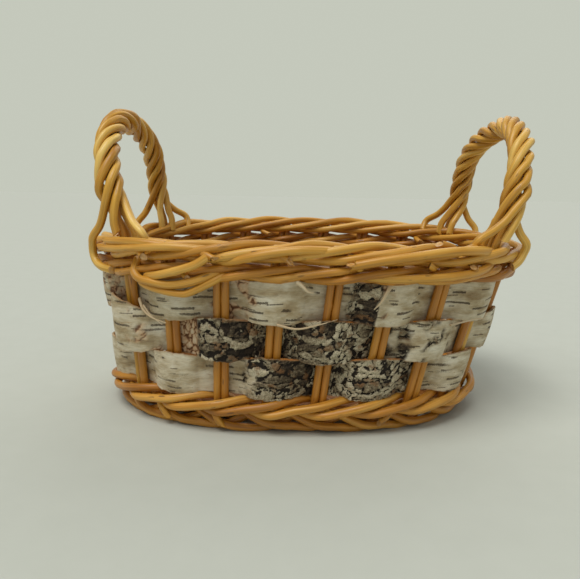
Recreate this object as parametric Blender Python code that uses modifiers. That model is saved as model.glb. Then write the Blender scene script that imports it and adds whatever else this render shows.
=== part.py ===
"""Oval willow basket with woven birch bark walls and two roped handles.

Metres, +Z up. The length lies along X and the front faces -Y. The origin is on
the ground, under the middle of the rim. A place on the wall is written as
(station, height, out): stations count the stake places from the left end
through the front, and out is the distance outward from the stakes' centre line.
"""
import math

import bmesh
import bpy
from mathutils import Vector

# Outside sizes over the rim, and how far in from it the wale above the foot stands
RIM_LENGTH = 0.2540
RIM_WIDTH = 0.1736
RIM_HEIGHT = 0.1020
END_FLARE = 0.0137
SIDE_FLARE = 0.0091
FOOT_LENGTH = RIM_LENGTH - 2 * END_FLARE
FOOT_WIDTH = RIM_WIDTH - 2 * SIDE_FLARE
FOOT_SHIFT = 0.0065
RIM_CROWN = 0.0023
OVAL_POWER = 2.35

# Rods, bark and the room that neighbours keep
STAKE_RADIUS = 0.0019
FOOT_WALE_RADIUS = 0.0020
RIM_WALE_RADIUS = 0.00195
BORDER_RADIUS = 0.0020
BOW_RADIUS = 0.0018
WRAP_RADIUS = 0.0020
BARK_THICKNESS = 0.0016
CLEARANCE = 0.0004
END_GAP = 0.0010
ROW_GAP = 0.0008
CORNER_SPACING_SHARE = 0.84
WALE_BELLY = 0.0004
BORDER_CREST = 0.0038
BORDER_DIP = 0.0033
FOOT_FLAT_DEPTH = 0.0005
ROD_CUT_SHARE = 0.5
WELD_DISTANCE = 0.00001

# Stakes: a pair at each station, each rod bent under the base and up again
STATIONS = 22
STAKE_SPREAD = STAKE_RADIUS + CLEARANCE / 2
BEND_RADIUS = 0.0090
BEND_STEPS = 4
TURN_IN = 0.0030
CROSSING_REACH = 0.0090

# Tilts of the two lower wales, which lean in under the base
FOOT_WALE_TILT = math.radians(50)
UPSETT_TILT = math.radians(15)

# Bark wall
BARK_ROWS = ("bottom", "middle", "top")
STRIPS_PER_ROW = 2
BARK_SHOULDER_SHARE = 0.17
BARK_BELLY = 0.0007

# Base weave: oval bands of weavers that pass over and under its ribs in turn
BASE_THICKNESS = 0.0030
BASE_WEAVER_THICKNESS = 0.0014
BASE_SWING = (BASE_THICKNESS - BASE_WEAVER_THICKNESS) / 2
BASE_RIBS = 30
BASE_BANDS = 7
BAND_SLOPE_SHARE = 0.24

# Handles
HANDLE_STATION = 2
HANDLE_HEIGHT = 0.0635
LEFT_HANDLE_OVERHANG = 0.0110
RIGHT_HANDLE_OVERHANG = 0.0170
OVERHANG_POWER = 0.60
HEIGHT_POWER = 0.76
ARCH_POINTS = 25
WRAPS = 5
WRAP_PITCH = 0.0500
WRAP_POINTS_PER_TURN = 8
WRAP_SAG = 0.0004
WRAP_REST = BOW_RADIUS + WRAP_RADIUS + CLEARANCE + WRAP_SAG
FLARE_LENGTH = 0.0250
FLARE_POINTS = 4
FLARE_TURN = math.radians(90)
FLARE_POWER = 1.6
FIRST_WRAP_ANGLE = math.radians(-56)
FRONT_WRAP_REACH = 0.0047
SIDE_WRAP_REACH = 0.0180
INNER_WRAP_REACH = 0.0065
END_WRAP_REACH = 0.0085
WRAP_LANDING = 0.0022
HOOK_DROP = 0.0048
HOOK_INSET = 0.0034
HOOK_STATION_SHARES = (0.12, 0.20, 0.24, 0.27)
HOOK_INSET_SHARES = (0.0, 0.0, 0.33, 1.0)

TABLE_STEPS = 1440


def side_sign(word):
    """Direction of a side along X."""
    return -1 if word == "left" else 1


def oval_unit(angle):
    """Point of the unit superellipse."""
    c, s = math.cos(angle), math.sin(angle)
    reach = (abs(c) ** OVAL_POWER + abs(s) ** OVAL_POWER) ** (-1 / OVAL_POWER)
    return c * reach, s * reach


def loop_lengths(half_length, half_width):
    """Running length round an oval, from the left end through the front."""
    lengths = [0.0]
    last = None
    for i in range(TABLE_STEPS + 1):
        x, y = oval_unit(math.pi + 2 * math.pi * i / TABLE_STEPS)
        here = Vector((x * half_length, y * half_width))
        if last is not None:
            lengths.append(lengths[-1] + (here - last).length)
        last = here
    return lengths


def peak_offset(radius, spacing):
    """How far out a strand swings so that its straight run clears the stake pair."""
    half = spacing * CORNER_SPACING_SHARE / 2
    need = STAKE_RADIUS + radius + CLEARANCE
    run = half - STAKE_SPREAD
    return need * half / math.sqrt(run * run - need * need)


FOOT_SPACING = loop_lengths(FOOT_LENGTH / 2, FOOT_WIDTH / 2)[-1] / STATIONS
RIM_SPACING = loop_lengths(RIM_LENGTH / 2, RIM_WIDTH / 2)[-1] / STATIONS


class Wale:
    """Cross-section of a ring of three strands twined round the stakes."""

    strands = 3
    crossing_step = 3
    inside_step = 4

    def __init__(self, radius, spacing):
        self.radius = radius
        self.spacing = spacing
        self.peak = peak_offset(radius, spacing)
        self.lay = radius + CLEARANCE
        self.centre = (0.0, 0.0)

    def place(self, out, up):
        """Set a cross-section point at the ring's centre."""
        return self.centre[0] + out, self.centre[1] + up

    def section(self, half_step):
        """Strand place at half stations: outside two stakes, then inside one."""
        belly = self.peak + WALE_BELLY
        places = (
            (self.peak, -self.lay),
            (belly, 0.0),
            (self.peak, self.lay),
            (0.0, self.lay),
            (-self.peak, 0.0),
            (0.0, -self.lay),
        )
        return self.place(*places[half_step % len(places)])

    def reach(self):
        return self.peak + WALE_BELLY + self.radius


class FootWale(Wale):
    """A wale on the bend of the stakes, turned to stand square on them."""

    def place(self, out, up):
        c, s = math.cos(FOOT_WALE_TILT), math.sin(FOOT_WALE_TILT)
        return (
            self.centre[0] + out * c + up * s,
            self.centre[1] - out * s + up * c,
        )


class UpsettWale(Wale):
    """A wale on the upright stakes, whose outer strands lie lower than its inner."""

    def place(self, out, up):
        drop = out * math.tan(UPSETT_TILT)
        return self.centre[0] + out, self.centre[1] + up - drop


class Border(Wale):
    """Cross-section of the rim's four-strand rope."""

    strands = 4
    inside_step = 5

    def section(self, half_step):
        belly = self.peak + WALE_BELLY
        places = (
            (self.peak, -self.lay),
            (belly, 0.0),
            (self.peak, self.lay),
            (0.0, BORDER_CREST),
            (-self.peak, self.lay),
            (-belly, 0.0),
            (-self.peak, -self.lay),
            (0.0, -BORDER_DIP),
        )
        return self.place(*places[half_step % len(places)])


# Heights, stacked from the ground and from the rim's top
foot_wale = FootWale(FOOT_WALE_RADIUS, FOOT_SPACING)
SPOKE_HEIGHT = (
    foot_wale.peak * math.sin(FOOT_WALE_TILT)
    + foot_wale.lay * math.cos(FOOT_WALE_TILT)
    + FOOT_WALE_RADIUS
    - FOOT_FLAT_DEPTH
    - BEND_RADIUS * (1 - math.sin(FOOT_WALE_TILT))
)
foot_wale.centre = (
    -BEND_RADIUS * (1 - math.cos(FOOT_WALE_TILT)),
    SPOKE_HEIGHT + BEND_RADIUS * (1 - math.sin(FOOT_WALE_TILT)),
)
upsett_wale = UpsettWale(FOOT_WALE_RADIUS, FOOT_SPACING)
crossing_out, crossing_up = foot_wale.section(foot_wale.crossing_step)
rod_room = 2 * FOOT_WALE_RADIUS + CLEARANCE
upsett_wale.centre = (
    0.0,
    crossing_up + math.sqrt(rod_room**2 - crossing_out**2) + upsett_wale.lay,
)
border = Border(BORDER_RADIUS, RIM_SPACING)
border.centre = (0.0, RIM_HEIGHT - BORDER_CREST - BORDER_RADIUS)
rim_wale = Wale(RIM_WALE_RADIUS, RIM_SPACING)
rim_wale.centre = (
    0.0,
    border.centre[1]
    - BORDER_DIP
    - BORDER_RADIUS
    - CLEARANCE
    - RIM_WALE_RADIUS
    - rim_wale.lay,
)
upsett_top = max(
    upsett_wale.section(upsett_wale.crossing_step)[1],
    upsett_wale.section(upsett_wale.inside_step)[1],
)
BARK_BOTTOM = upsett_top + FOOT_WALE_RADIUS + CLEARANCE
BARK_TOP = rim_wale.centre[1] - rim_wale.lay - RIM_WALE_RADIUS - CLEARANCE
BARK_OUT = STAKE_RADIUS + CLEARANCE + BARK_THICKNESS / 2

# The stakes' oval at the upper foot wale and at the border
FOOT_HALVES = (
    FOOT_LENGTH / 2 - upsett_wale.reach(),
    FOOT_WIDTH / 2 - upsett_wale.reach(),
)
RIM_HALVES = (
    RIM_LENGTH / 2 - border.reach(),
    RIM_WIDTH / 2 - border.reach(),
)
STATION_LENGTHS = loop_lengths(
    (FOOT_HALVES[0] + RIM_HALVES[0]) / 2, (FOOT_HALVES[1] + RIM_HALVES[1]) / 2
)


def station_angle(station):
    """Angle of a station, by equal shares of the oval half way up the wall."""
    turns, rest = divmod(station / STATIONS, 1.0)
    target = rest * STATION_LENGTHS[-1]
    low, high = 0, TABLE_STEPS
    while high - low > 1:
        middle = (low + high) // 2
        if STATION_LENGTHS[middle] <= target:
            low = middle
        else:
            high = middle
    span = STATION_LENGTHS[high] - STATION_LENGTHS[low]
    step = low + (target - STATION_LENGTHS[low]) / span
    return math.pi + 2 * math.pi * (step / TABLE_STEPS + turns)


def wall_frame(station, height):
    """Centre line point of the wall there, its outward normal and its tangent."""
    angle = station_angle(station)
    share = (height - upsett_wale.centre[1]) / (
        border.centre[1] - upsett_wale.centre[1]
    )
    half_length = FOOT_HALVES[0] + (RIM_HALVES[0] - FOOT_HALVES[0]) * share
    half_width = FOOT_HALVES[1] + (RIM_HALVES[1] - FOOT_HALVES[1]) * share
    x, y = oval_unit(angle)
    normal = Vector(
        (
            math.copysign(abs(x) ** (OVAL_POWER - 1), x) / half_length,
            math.copysign(abs(y) ** (OVAL_POWER - 1), y) / half_width,
            0.0,
        )
    ).normalized()
    tangent = Vector((-normal.y, normal.x, 0.0))
    crown = RIM_CROWN * height / RIM_HEIGHT
    point = Vector(
        (
            x * half_length - FOOT_SHIFT * (1 - share),
            y * half_width,
            height - crown * math.cos(2 * angle),
        )
    )
    return point, normal, tangent


def wall_point(station, height, out=0.0, along=0.0):
    point, normal, tangent = wall_frame(station, height)
    return point + normal * out + tangent * along


def make_material(name, colour, roughness):
    material = bpy.data.materials.new(name)
    material.use_nodes = True
    shader = material.node_tree.nodes["Principled BSDF"]
    shader.inputs["Base Color"].default_value = (*colour, 1.0)
    shader.inputs["Roughness"].default_value = roughness
    shader.inputs["Metallic"].default_value = 0.0
    material.diffuse_color = (*colour, 1.0)
    return material


def make_rod(name, points, radius, material):
    """A round rod along the points, with closed ends."""
    curve = bpy.data.curves.new(name, "CURVE")
    curve.dimensions = "3D"
    curve.bevel_depth = radius
    curve.bevel_resolution = 1
    curve.use_fill_caps = True
    curve.resolution_u = 1
    curve.render_resolution_u = 0
    spline = curve.splines.new("POLY")
    spline.points.add(len(points) - 1)
    for spot, place in zip(spline.points, points):
        spot.co = (*place, 1.0)
    curve.materials.append(material)
    rod = bpy.data.objects.new(name, curve)
    parts.objects.link(rod)
    return rod


def stake_bend(station, along):
    """Points of a stake from the border down the wall and in under the base."""
    top = border.centre[1] + border.lay
    points = [wall_point(station, top, 0.0, along)]
    for i in range(BEND_STEPS + 1):
        turn = math.pi / 2 * i / BEND_STEPS
        out = -BEND_RADIUS * (1 - math.cos(turn))
        height = SPOKE_HEIGHT + BEND_RADIUS * (1 - math.sin(turn))
        points.append(wall_point(station, height, out, along))
    return points


def turn_point(station, along):
    """Where a stake under the base turns from its station's normal to run across."""
    _, normal, tangent = wall_frame(station, SPOKE_HEIGHT)
    inset = TURN_IN - along * normal.x / (1 + abs(tangent.x))
    return wall_point(station, SPOKE_HEIGHT, -BEND_RADIUS - inset, along)


def make_cross_stake(name, station, along, material):
    """A stake from the front wall, across under the base, to the back wall."""
    front = stake_bend(station, along)
    back = stake_bend(STATIONS - station, -along)
    corner = turn_point(station, along)
    low = STAKE_RADIUS + CLEARANCE
    middle = [
        corner,
        Vector((corner.x, -CROSSING_REACH, low)),
        Vector((corner.x, CROSSING_REACH, low)),
        Vector((corner.x, -corner.y, corner.z)),
    ]
    return make_rod(name, front + middle + back[::-1], STAKE_RADIUS, material)


def make_long_stake(name, along, material):
    """A stake from the left end, over the cross stakes, to the right end."""
    left = stake_bend(0, along)
    right = stake_bend(STATIONS / 2, -along)
    high = 3 * STAKE_RADIUS + 2 * CLEARANCE
    middle = [
        Vector((left[-1].x + TURN_IN, left[-1].y, high)),
        Vector((right[-1].x - TURN_IN, right[-1].y, high)),
    ]
    return make_rod(name, left + middle + right[::-1], STAKE_RADIUS, material)


def make_stakes(material):
    half = STATIONS // 2
    bow_sides = {HANDLE_STATION: "left", half - HANDLE_STATION: "right"}
    for station in range(1, half):
        for word in ("left", "right"):
            if bow_sides.get(station) == word:
                continue
            name = f"cross_stake_{station:02d}_{word}"
            along = side_sign(word) * STAKE_SPREAD
            make_cross_stake(name, station, along, material)
    make_long_stake("long_stake_back", -STAKE_SPREAD, material)
    make_long_stake("long_stake_front", STAKE_SPREAD, material)


def strand_point(ring, step, offset, direction):
    """Point of a ring's strand, a number of half stations along it."""
    low = math.floor(step)
    share = step - low
    first = ring.section(low + offset)
    second = ring.section(low + 1 + offset)
    out = first[0] + (second[0] - first[0]) * share
    height = first[1] + (second[1] - first[1]) * share
    return wall_point(direction * step / 2, height, out)


def make_strand(name, ring, first, last, material, offset=0, direction=1):
    """One rod of a ring, cut on a straight run inside, with room to the next."""
    half_gap = END_GAP / ring.spacing
    inner_steps = range(first + 1, last + 1)
    steps = [
        first + ROD_CUT_SHARE + half_gap,
        *inner_steps,
        last + ROD_CUT_SHARE - half_gap,
    ]
    points = [strand_point(ring, step, offset, direction) for step in steps]
    return make_rod(name, points, ring.radius, material)


def make_wale(name, ring, material, direction=1):
    """Three rods end to end, which together go three times round."""
    steps_round = 2 * STATIONS
    cuts = []
    for i in range(ring.strands + 1):
        past_whole_turns = i * steps_round % (2 * ring.strands)
        cuts.append(ring.inside_step + i * steps_round - past_whole_turns)
    rods = []
    for i, ends in enumerate(zip(cuts, cuts[1:])):
        rod_name = f"{name}_rod_{i + 1}"
        rods.append(make_strand(rod_name, ring, *ends, material, direction=direction))
    return rods


def make_border(material):
    """Two loops of two rods each, which together make a rope of four."""
    steps_round = 2 * STATIONS
    rods_per_loop = border.strands // 2
    for loop in range(2):
        offset = 2 * loop
        first = border.inside_step - offset
        middle = first + steps_round - border.strands
        last = first + 2 * steps_round
        for i, ends in enumerate(((first, middle), (middle, last))):
            name = f"border_rod_{rods_per_loop * loop + i + 1}"
            make_strand(name, border, *ends, material, offset=offset)


def cut_flat(rod, cutter):
    """Make the rod a mesh and cut its lowest bellies flat at the ground."""
    depsgraph = bpy.context.evaluated_depsgraph_get()
    mesh = bpy.data.meshes.new_from_object(rod.evaluated_get(depsgraph))
    bm = bmesh.new()
    bm.from_mesh(mesh)
    bmesh.ops.remove_doubles(bm, verts=bm.verts, dist=WELD_DISTANCE)
    bm.to_mesh(mesh)
    bm.free()
    name = rod.name
    solid = bpy.data.objects.new(name + "_solid", mesh)
    solid.matrix_world = rod.matrix_world
    parts.objects.link(solid)
    curve = rod.data
    bpy.data.objects.remove(rod)
    bpy.data.curves.remove(curve)
    solid.name = name
    cut = solid.modifiers.new("ground", "BOOLEAN")
    cut.operation = "DIFFERENCE"
    cut.solver = "EXACT"
    cut.object = cutter


def make_ground_cutter():
    bpy.ops.mesh.primitive_cube_add(size=1.0)
    cutter = bpy.context.object
    cutter.name = "ground_cutter"
    cutter.scale = (2 * RIM_LENGTH, 2 * RIM_WIDTH, RIM_HEIGHT)
    cutter.location = (0.0, 0.0, -RIM_HEIGHT / 2)
    cutter.hide_render = True
    cutter.display_type = "WIRE"
    for collection in cutter.users_collection:
        collection.objects.unlink(cutter)
    cutters.objects.link(cutter)
    return cutter


def bark_out(station, weave):
    """Outward place of a bark strip that passes outside every second station."""
    nearest = round(station)
    side = 1 if (nearest + weave) % 2 else -1
    away = abs(station - nearest)
    if away <= BARK_SHOULDER_SHARE:
        belly = BARK_BELLY * (1 - away / BARK_SHOULDER_SHARE)
        return side * (BARK_OUT + belly)
    share = (0.5 - away) / (0.5 - BARK_SHOULDER_SHARE)
    return side * BARK_OUT * share


def make_bark_strip(name, first, last, low, high, weave, material):
    """A strip of bark woven from one station to another."""
    gap = END_GAP / RIM_SPACING
    stations = [first + gap]
    for station in range(first, last):
        stations += [station + BARK_SHOULDER_SHARE, station + 1 - BARK_SHOULDER_SHARE]
        if station + 1 < last:
            stations.append(station + 1)
    stations.append(last - gap)
    bm = bmesh.new()
    last_pair = None
    for station in stations:
        out = bark_out(station, weave)
        pair = [bm.verts.new(wall_point(station, z, out)) for z in (low, high)]
        if last_pair:
            bm.faces.new((last_pair[0], pair[0], pair[1], last_pair[1]))
        last_pair = pair
    mesh = bpy.data.meshes.new(name)
    bm.to_mesh(mesh)
    bm.free()
    mesh.materials.append(material)
    strip = bpy.data.objects.new(name, mesh)
    parts.objects.link(strip)
    solid = strip.modifiers.new("thickness", "SOLIDIFY")
    solid.thickness = BARK_THICKNESS
    solid.offset = 0.0
    solid.use_even_offset = True


def make_bark(material):
    """Rows of bark, each of strips whose ends meet behind a stake pair."""
    pitch = (BARK_TOP - BARK_BOTTOM + ROW_GAP) / len(BARK_ROWS)
    for row, word in enumerate(BARK_ROWS):
        low = BARK_BOTTOM + row * pitch
        high = low + pitch - ROW_GAP
        weave = row % 2
        start = weave + 2 * row
        strip_stations = [
            start + 2 * round(i * STATIONS / STRIPS_PER_ROW / 2)
            for i in range(STRIPS_PER_ROW)
        ]
        strip_stations.append(start + STATIONS)
        for i in range(STRIPS_PER_ROW):
            name = f"bark_strip_{word}_{i + 1}"
            ends = strip_stations[i : i + 2]
            make_bark_strip(name, *ends, low, high, weave, material)


def band_edges():
    """Each band of the base with its outer and inner edge, counted in bands."""
    flat_half = (1 - BAND_SLOPE_SHARE) / 2
    last = BASE_BANDS - 1
    edges = [(0, 0.0), (0, flat_half)]
    for band in range(1, last):
        edges += [(band, band - flat_half), (band, band + flat_half)]
    edges.append((last, last - flat_half))
    return edges


def make_base(material):
    """The base weave, an oval mat on the long stakes inside the foot wale."""
    bottom = 4 * STAKE_RADIUS + 3 * CLEARANCE
    centre = bottom + BASE_THICKNESS / 2
    inside = foot_wale.section(foot_wale.inside_step)[0]
    out = inside - FOOT_WALE_RADIUS - CLEARANCE
    spacing = STATIONS / BASE_RIBS
    outer = [wall_point(i * spacing, centre, out) for i in range(BASE_RIBS)]
    core_share = 1 - FOOT_HALVES[1] / FOOT_HALVES[0]
    middle = (outer[0] + outer[BASE_RIBS // 2]) / 2
    bm = bmesh.new()
    last_ring = None
    for band, spot in band_edges():
        inward = spot / (BASE_BANDS - 1 / 2)
        ring = []
        for i, edge in enumerate(outer):
            core = Vector((middle.x + (edge.x - middle.x) * core_share, 0.0, 0.0))
            place = edge.lerp(core, inward)
            under = (i + band) % 2 or band == BASE_BANDS - 1
            place.z = centre - BASE_SWING if under else centre + BASE_SWING
            ring.append(bm.verts.new(place))
        for i in range(BASE_RIBS):
            if last_ring:
                k = (i + 1) % BASE_RIBS
                bm.faces.new((last_ring[i], last_ring[k], ring[k], ring[i]))
        last_ring = ring
    bm.faces.new(last_ring)
    mesh = bpy.data.meshes.new("base_weave")
    bm.to_mesh(mesh)
    bm.free()
    mesh.materials.append(material)
    base = bpy.data.objects.new("base_weave", mesh)
    parts.objects.link(base)
    solid = base.modifiers.new("thickness", "SOLIDIFY")
    solid.thickness = BASE_WEAVER_THICKNESS
    solid.offset = 0.0


def handle_legs(side):
    """Stations of a handle's front and back legs, and their places beside the stakes."""
    half = STATIONS // 2
    front = HANDLE_STATION if side < 0 else half - HANDLE_STATION
    return (front, side * STAKE_SPREAD), (STATIONS - front, -side * STAKE_SPREAD)


def arch_line(side, overhang):
    """The bow's centre line above the rim, from its front leg to its back leg."""
    (front, front_along), (back, back_along) = handle_legs(side)
    first = wall_point(front, RIM_HEIGHT, 0.0, front_along)
    last = wall_point(back, RIM_HEIGHT, 0.0, back_along)
    points = []
    for i in range(ARCH_POINTS):
        turn = math.pi * i / (ARCH_POINTS - 1)
        across = (1 - math.cos(turn)) / 2
        rise = max(math.sin(turn), 0.0)
        place = first.lerp(last, across)
        place.x += side * overhang * rise**OVERHANG_POWER
        place.z += HANDLE_HEIGHT * rise**HEIGHT_POWER
        points.append(place)
    return points


class Path:
    """A line that is read by its running length."""

    def __init__(self, points):
        self.points = points
        self.lengths = [0.0]
        for a, b in zip(points, points[1:]):
            self.lengths.append(self.lengths[-1] + (b - a).length)
        self.length = self.lengths[-1]

    def at(self, length):
        length = min(max(length, 0.0), self.length)
        i = 0
        while i < len(self.lengths) - 2 and self.lengths[i + 1] < length:
            i += 1
        share = (length - self.lengths[i]) / (self.lengths[i + 1] - self.lengths[i])
        return self.points[i].lerp(self.points[i + 1], share)

    def direction(self, length):
        near = WRAP_RADIUS
        return (self.at(length + near) - self.at(length - near)).normalized()


def bow_sides(path, side, length):
    """Two unit vectors square to a handle's bow, the first one pointing outward."""
    along = path.direction(length)
    outer = Vector((side, 0.0, 0.0))
    outer = (outer - along * outer.dot(along)).normalized()
    return outer, along.cross(outer)


def wrap_spot(path, side, length, angle, reach):
    """Point beside a handle's bow, by its angle round it from the outer side."""
    outer, other = bow_sides(path, side, length)
    beside = outer * math.cos(angle) + other * math.sin(angle)
    return path.at(length) + beside * reach


def rim_clear():
    """How far outside the stakes a wrap passes the rim."""
    return max(border.reach(), rim_wale.reach()) + WRAP_RADIUS + CLEARANCE


def wrap_angle(role):
    """Direction from the leg in which a rod lands, measured from straight outward."""
    return FIRST_WRAP_ANGLE + 2 * math.pi * role / WRAPS


def wrap_reach(role):
    """How far from the leg a rod lands: the first one passes outside the rim."""
    hooked_reach = rim_clear() / math.cos(wrap_angle(0))
    reaches = (
        hooked_reach,
        FRONT_WRAP_REACH,
        SIDE_WRAP_REACH,
        INNER_WRAP_REACH,
        END_WRAP_REACH,
    )
    return reaches[role]


def hook_points(landing_station, end_way):
    """The first wrap's tail, down outside the rim and in under the rim wale."""
    under = rim_wale.centre[1] - rim_wale.lay - RIM_WALE_RADIUS
    heights = (border.centre[1], rim_wale.centre[1], under, under - HOOK_DROP)
    points = []
    for ahead, height, tuck in zip(HOOK_STATION_SHARES, heights, HOOK_INSET_SHARES):
        out = rim_clear() - HOOK_INSET * tuck
        points.append(wall_point(landing_station + end_way * ahead, height, out))
    return points


def flare_points(path, side, from_front, role):
    """A wrap's end, from its place at the rim to where it meets the bow."""
    base = 0.0 if from_front else path.length
    way = 1 if from_front else -1
    station, along = handle_legs(side)[0 if from_front else 1]
    normal = wall_frame(station, RIM_HEIGHT)[1]
    outer, other = bow_sides(path, side, base)
    face = math.atan2(other.dot(normal), outer.dot(normal))
    angle = wrap_angle(role)
    target = face - side * angle
    reach = wrap_reach(role)
    beside = along - side * way * reach * math.sin(angle)
    landing_station = station + beside / RIM_SPACING
    landing = 0.0 if role == 0 else WRAP_LANDING
    place = wall_point(landing_station, RIM_HEIGHT + landing, reach * math.cos(angle))
    shift = place - wrap_spot(path, side, base, target, reach)
    points = []
    for i in range(FLARE_POINTS):
        share = i / FLARE_POINTS
        spread = WRAP_REST + (reach - WRAP_REST) * (1 - share) ** FLARE_POWER
        turn = target + way * FLARE_TURN * share**2
        length = base + way * FLARE_LENGTH * share
        spot = wrap_spot(path, side, length, turn, spread)
        points.append(spot + shift * (1 - share) ** 2)
    if role == 0:
        points = hook_points(landing_station, side * way)[::-1] + points
    return points, target


def make_wrap(name, path, side, start_role, material):
    """One rod wound round a handle's bow, from the front leg to the back leg."""
    wound = path.length - 2 * FLARE_LENGTH
    places_along = (wound / WRAP_PITCH + FLARE_TURN / math.pi) * WRAPS
    shift = round(places_along)
    end_role = (start_role - side * shift) % WRAPS
    front, front_angle = flare_points(path, side, True, start_role)
    back, back_angle = flare_points(path, side, False, end_role)
    start_angle = front_angle + FLARE_TURN
    turn = 2 * math.pi * shift / WRAPS - 2 * FLARE_TURN
    drift = (back_angle - front_angle) - 2 * math.pi * shift / WRAPS
    turn += math.remainder(drift, 2 * math.pi)
    steps = round(turn / (2 * math.pi) * WRAP_POINTS_PER_TURN)
    middle = []
    for i in range(steps + 1):
        share = i / steps
        length = FLARE_LENGTH + wound * share
        angle = start_angle + turn * share
        middle.append(wrap_spot(path, side, length, angle, WRAP_REST))
    return make_rod(name, front + middle + back[::-1], WRAP_RADIUS, material)


def make_handle(word, overhang, material):
    """A bow with both legs down beside the stakes, and the rods wound round it."""
    side = side_sign(word)
    arch = arch_line(side, overhang)
    legs = []
    for station, along in handle_legs(side):
        foot = SPOKE_HEIGHT + BEND_RADIUS
        legs.append(wall_point(station, foot, 0.0, along))
    bow = [legs[0], *arch, legs[1]]
    make_rod(f"{word}_handle_bow", bow, BOW_RADIUS, material)
    path = Path(arch)
    for role in range(WRAPS):
        make_wrap(f"{word}_handle_wrap_{role + 1}", path, side, role, material)


def clear_scene():
    for thing in list(bpy.data.objects):
        bpy.data.objects.remove(thing)


def new_collection(name):
    collection = bpy.data.collections.new(name)
    bpy.context.scene.collection.children.link(collection)
    return collection


clear_scene()
parts = new_collection("wicker_basket")
cutters = new_collection("cutters")

stake_willow = make_material("stake_willow", (0.47, 0.22, 0.055), 0.50)
wale_willow = make_material("wale_willow", (0.58, 0.31, 0.09), 0.45)
border_willow = make_material("border_willow", (0.66, 0.38, 0.12), 0.42)
handle_willow = make_material("handle_willow", (0.55, 0.28, 0.07), 0.45)
birch_bark = make_material("birch_bark", (0.50, 0.47, 0.41), 0.80)
base_willow = make_material("base_willow", (0.42, 0.20, 0.06), 0.60)

make_stakes(stake_willow)
ground_cutter = make_ground_cutter()
for foot_rod in make_wale("foot_wale", foot_wale, wale_willow, direction=-1):
    cut_flat(foot_rod, ground_cutter)
make_wale("upsett_wale", upsett_wale, wale_willow)
make_bark(birch_bark)
make_wale("rim_wale", rim_wale, wale_willow)
make_border(border_willow)
make_base(base_willow)
make_handle("left", LEFT_HANDLE_OVERHANG, handle_willow)
make_handle("right", RIGHT_HANDLE_OVERHANG, handle_willow)
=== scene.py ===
"""Looks of the oval willow basket: rods, birch bark, roped handles and base.

Metres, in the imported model's frame: the length lies along X, the front faces -Y.
The wall's formulas are the ones that the model was built from. A place on the
wall is (station, height, out): stations count the stake pairs from the left end
through the front, and out is the distance outward from the stakes' centre line.
"""

import math
import random

import bpy
import numpy as np
from mathutils import Matrix, Vector, noise


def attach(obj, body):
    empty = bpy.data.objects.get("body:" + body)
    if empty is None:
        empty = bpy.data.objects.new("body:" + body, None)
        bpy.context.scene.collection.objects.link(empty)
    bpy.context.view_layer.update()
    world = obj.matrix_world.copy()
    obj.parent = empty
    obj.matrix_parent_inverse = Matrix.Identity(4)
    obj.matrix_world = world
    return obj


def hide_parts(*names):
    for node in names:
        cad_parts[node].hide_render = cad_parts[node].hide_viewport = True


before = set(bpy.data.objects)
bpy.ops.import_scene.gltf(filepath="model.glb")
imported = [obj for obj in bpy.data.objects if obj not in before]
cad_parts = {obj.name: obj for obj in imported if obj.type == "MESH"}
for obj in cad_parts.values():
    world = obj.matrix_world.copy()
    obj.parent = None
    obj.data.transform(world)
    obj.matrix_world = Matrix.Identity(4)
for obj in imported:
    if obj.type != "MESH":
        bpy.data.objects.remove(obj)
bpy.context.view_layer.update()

# Without a seed, Blender's vector noise differs from one run to the next
NOISE_SEED = 7
noise.seed_set(NOISE_SEED)

# Where each group's seeds start; its rods count on from there
SEEDS = {
    "cross_stake": 100,
    "long_stake": 150,
    "foot_wale": 200,
    "upsett_wale": 220,
    "rim_wale": 240,
    "loose_rods": 300,
    "slivers": 330,
    "border": 400,
    "left_handle": 500,
    "right_handle": 520,
    "base": 700,
}

# The model's sizes
RIM_LENGTH = 0.2540
RIM_WIDTH = 0.1736
RIM_HEIGHT = 0.1020
FOOT_LENGTH = 0.2266
FOOT_WIDTH = 0.1554
FOOT_SHIFT = 0.0065
RIM_CROWN = 0.0023
OVAL_POWER = 2.35
STAKE_RADIUS = 0.0019
FOOT_WALE_RADIUS = 0.0020
RIM_WALE_RADIUS = 0.00195
BORDER_RADIUS = 0.0020
BOW_RADIUS = 0.0018
WRAP_RADIUS = 0.0020
CLEARANCE = 0.0004
ROW_GAP = 0.0008
CORNER_SPACING_SHARE = 0.84
WALE_BELLY = 0.0004
BORDER_CREST = 0.0038
BORDER_DIP = 0.0033
FOOT_FLAT_DEPTH = 0.0005
STATIONS = 22
STAKE_SPREAD = STAKE_RADIUS + CLEARANCE / 2
BEND_RADIUS = 0.0090
TURN_IN = 0.0030
CROSSING_REACH = 0.0090
FOOT_WALE_TILT = math.radians(50)
UPSETT_TILT = math.radians(15)
BASE_THICKNESS = 0.0030
HANDLE_STATION = 2
HANDLE_HEIGHT = 0.0635
HANDLE_OVERHANG = {"left": 0.0110, "right": 0.0170}
OVERHANG_POWER = 0.60
HEIGHT_POWER = 0.76
WRAPS = 5
WRAP_PITCH = 0.0500
TABLE_STEPS = 1440

# The unit of the places that are listed
MILLIMETRE = 0.001

# Looks only: how much fuller and less even the real rods are
FULLNESS = 0.0002
WANDER = 0.00042
FOOT_WANDER = 0.0008


def oval_unit(angle):
    """Points of the unit superellipse."""
    c, s = np.cos(angle), np.sin(angle)
    reach = (np.abs(c) ** OVAL_POWER + np.abs(s) ** OVAL_POWER) ** (-1 / OVAL_POWER)
    return c * reach, s * reach


def running_lengths(steps):
    return np.concatenate(([0.0], np.cumsum(steps)))


def loop_lengths(half_length, half_width):
    """Running length round an oval, from the left end through the front."""
    x, y = oval_unit(math.pi + 2 * math.pi * np.arange(TABLE_STEPS + 1) / TABLE_STEPS)
    return running_lengths(np.hypot(np.diff(x * half_length), np.diff(y * half_width)))


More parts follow.
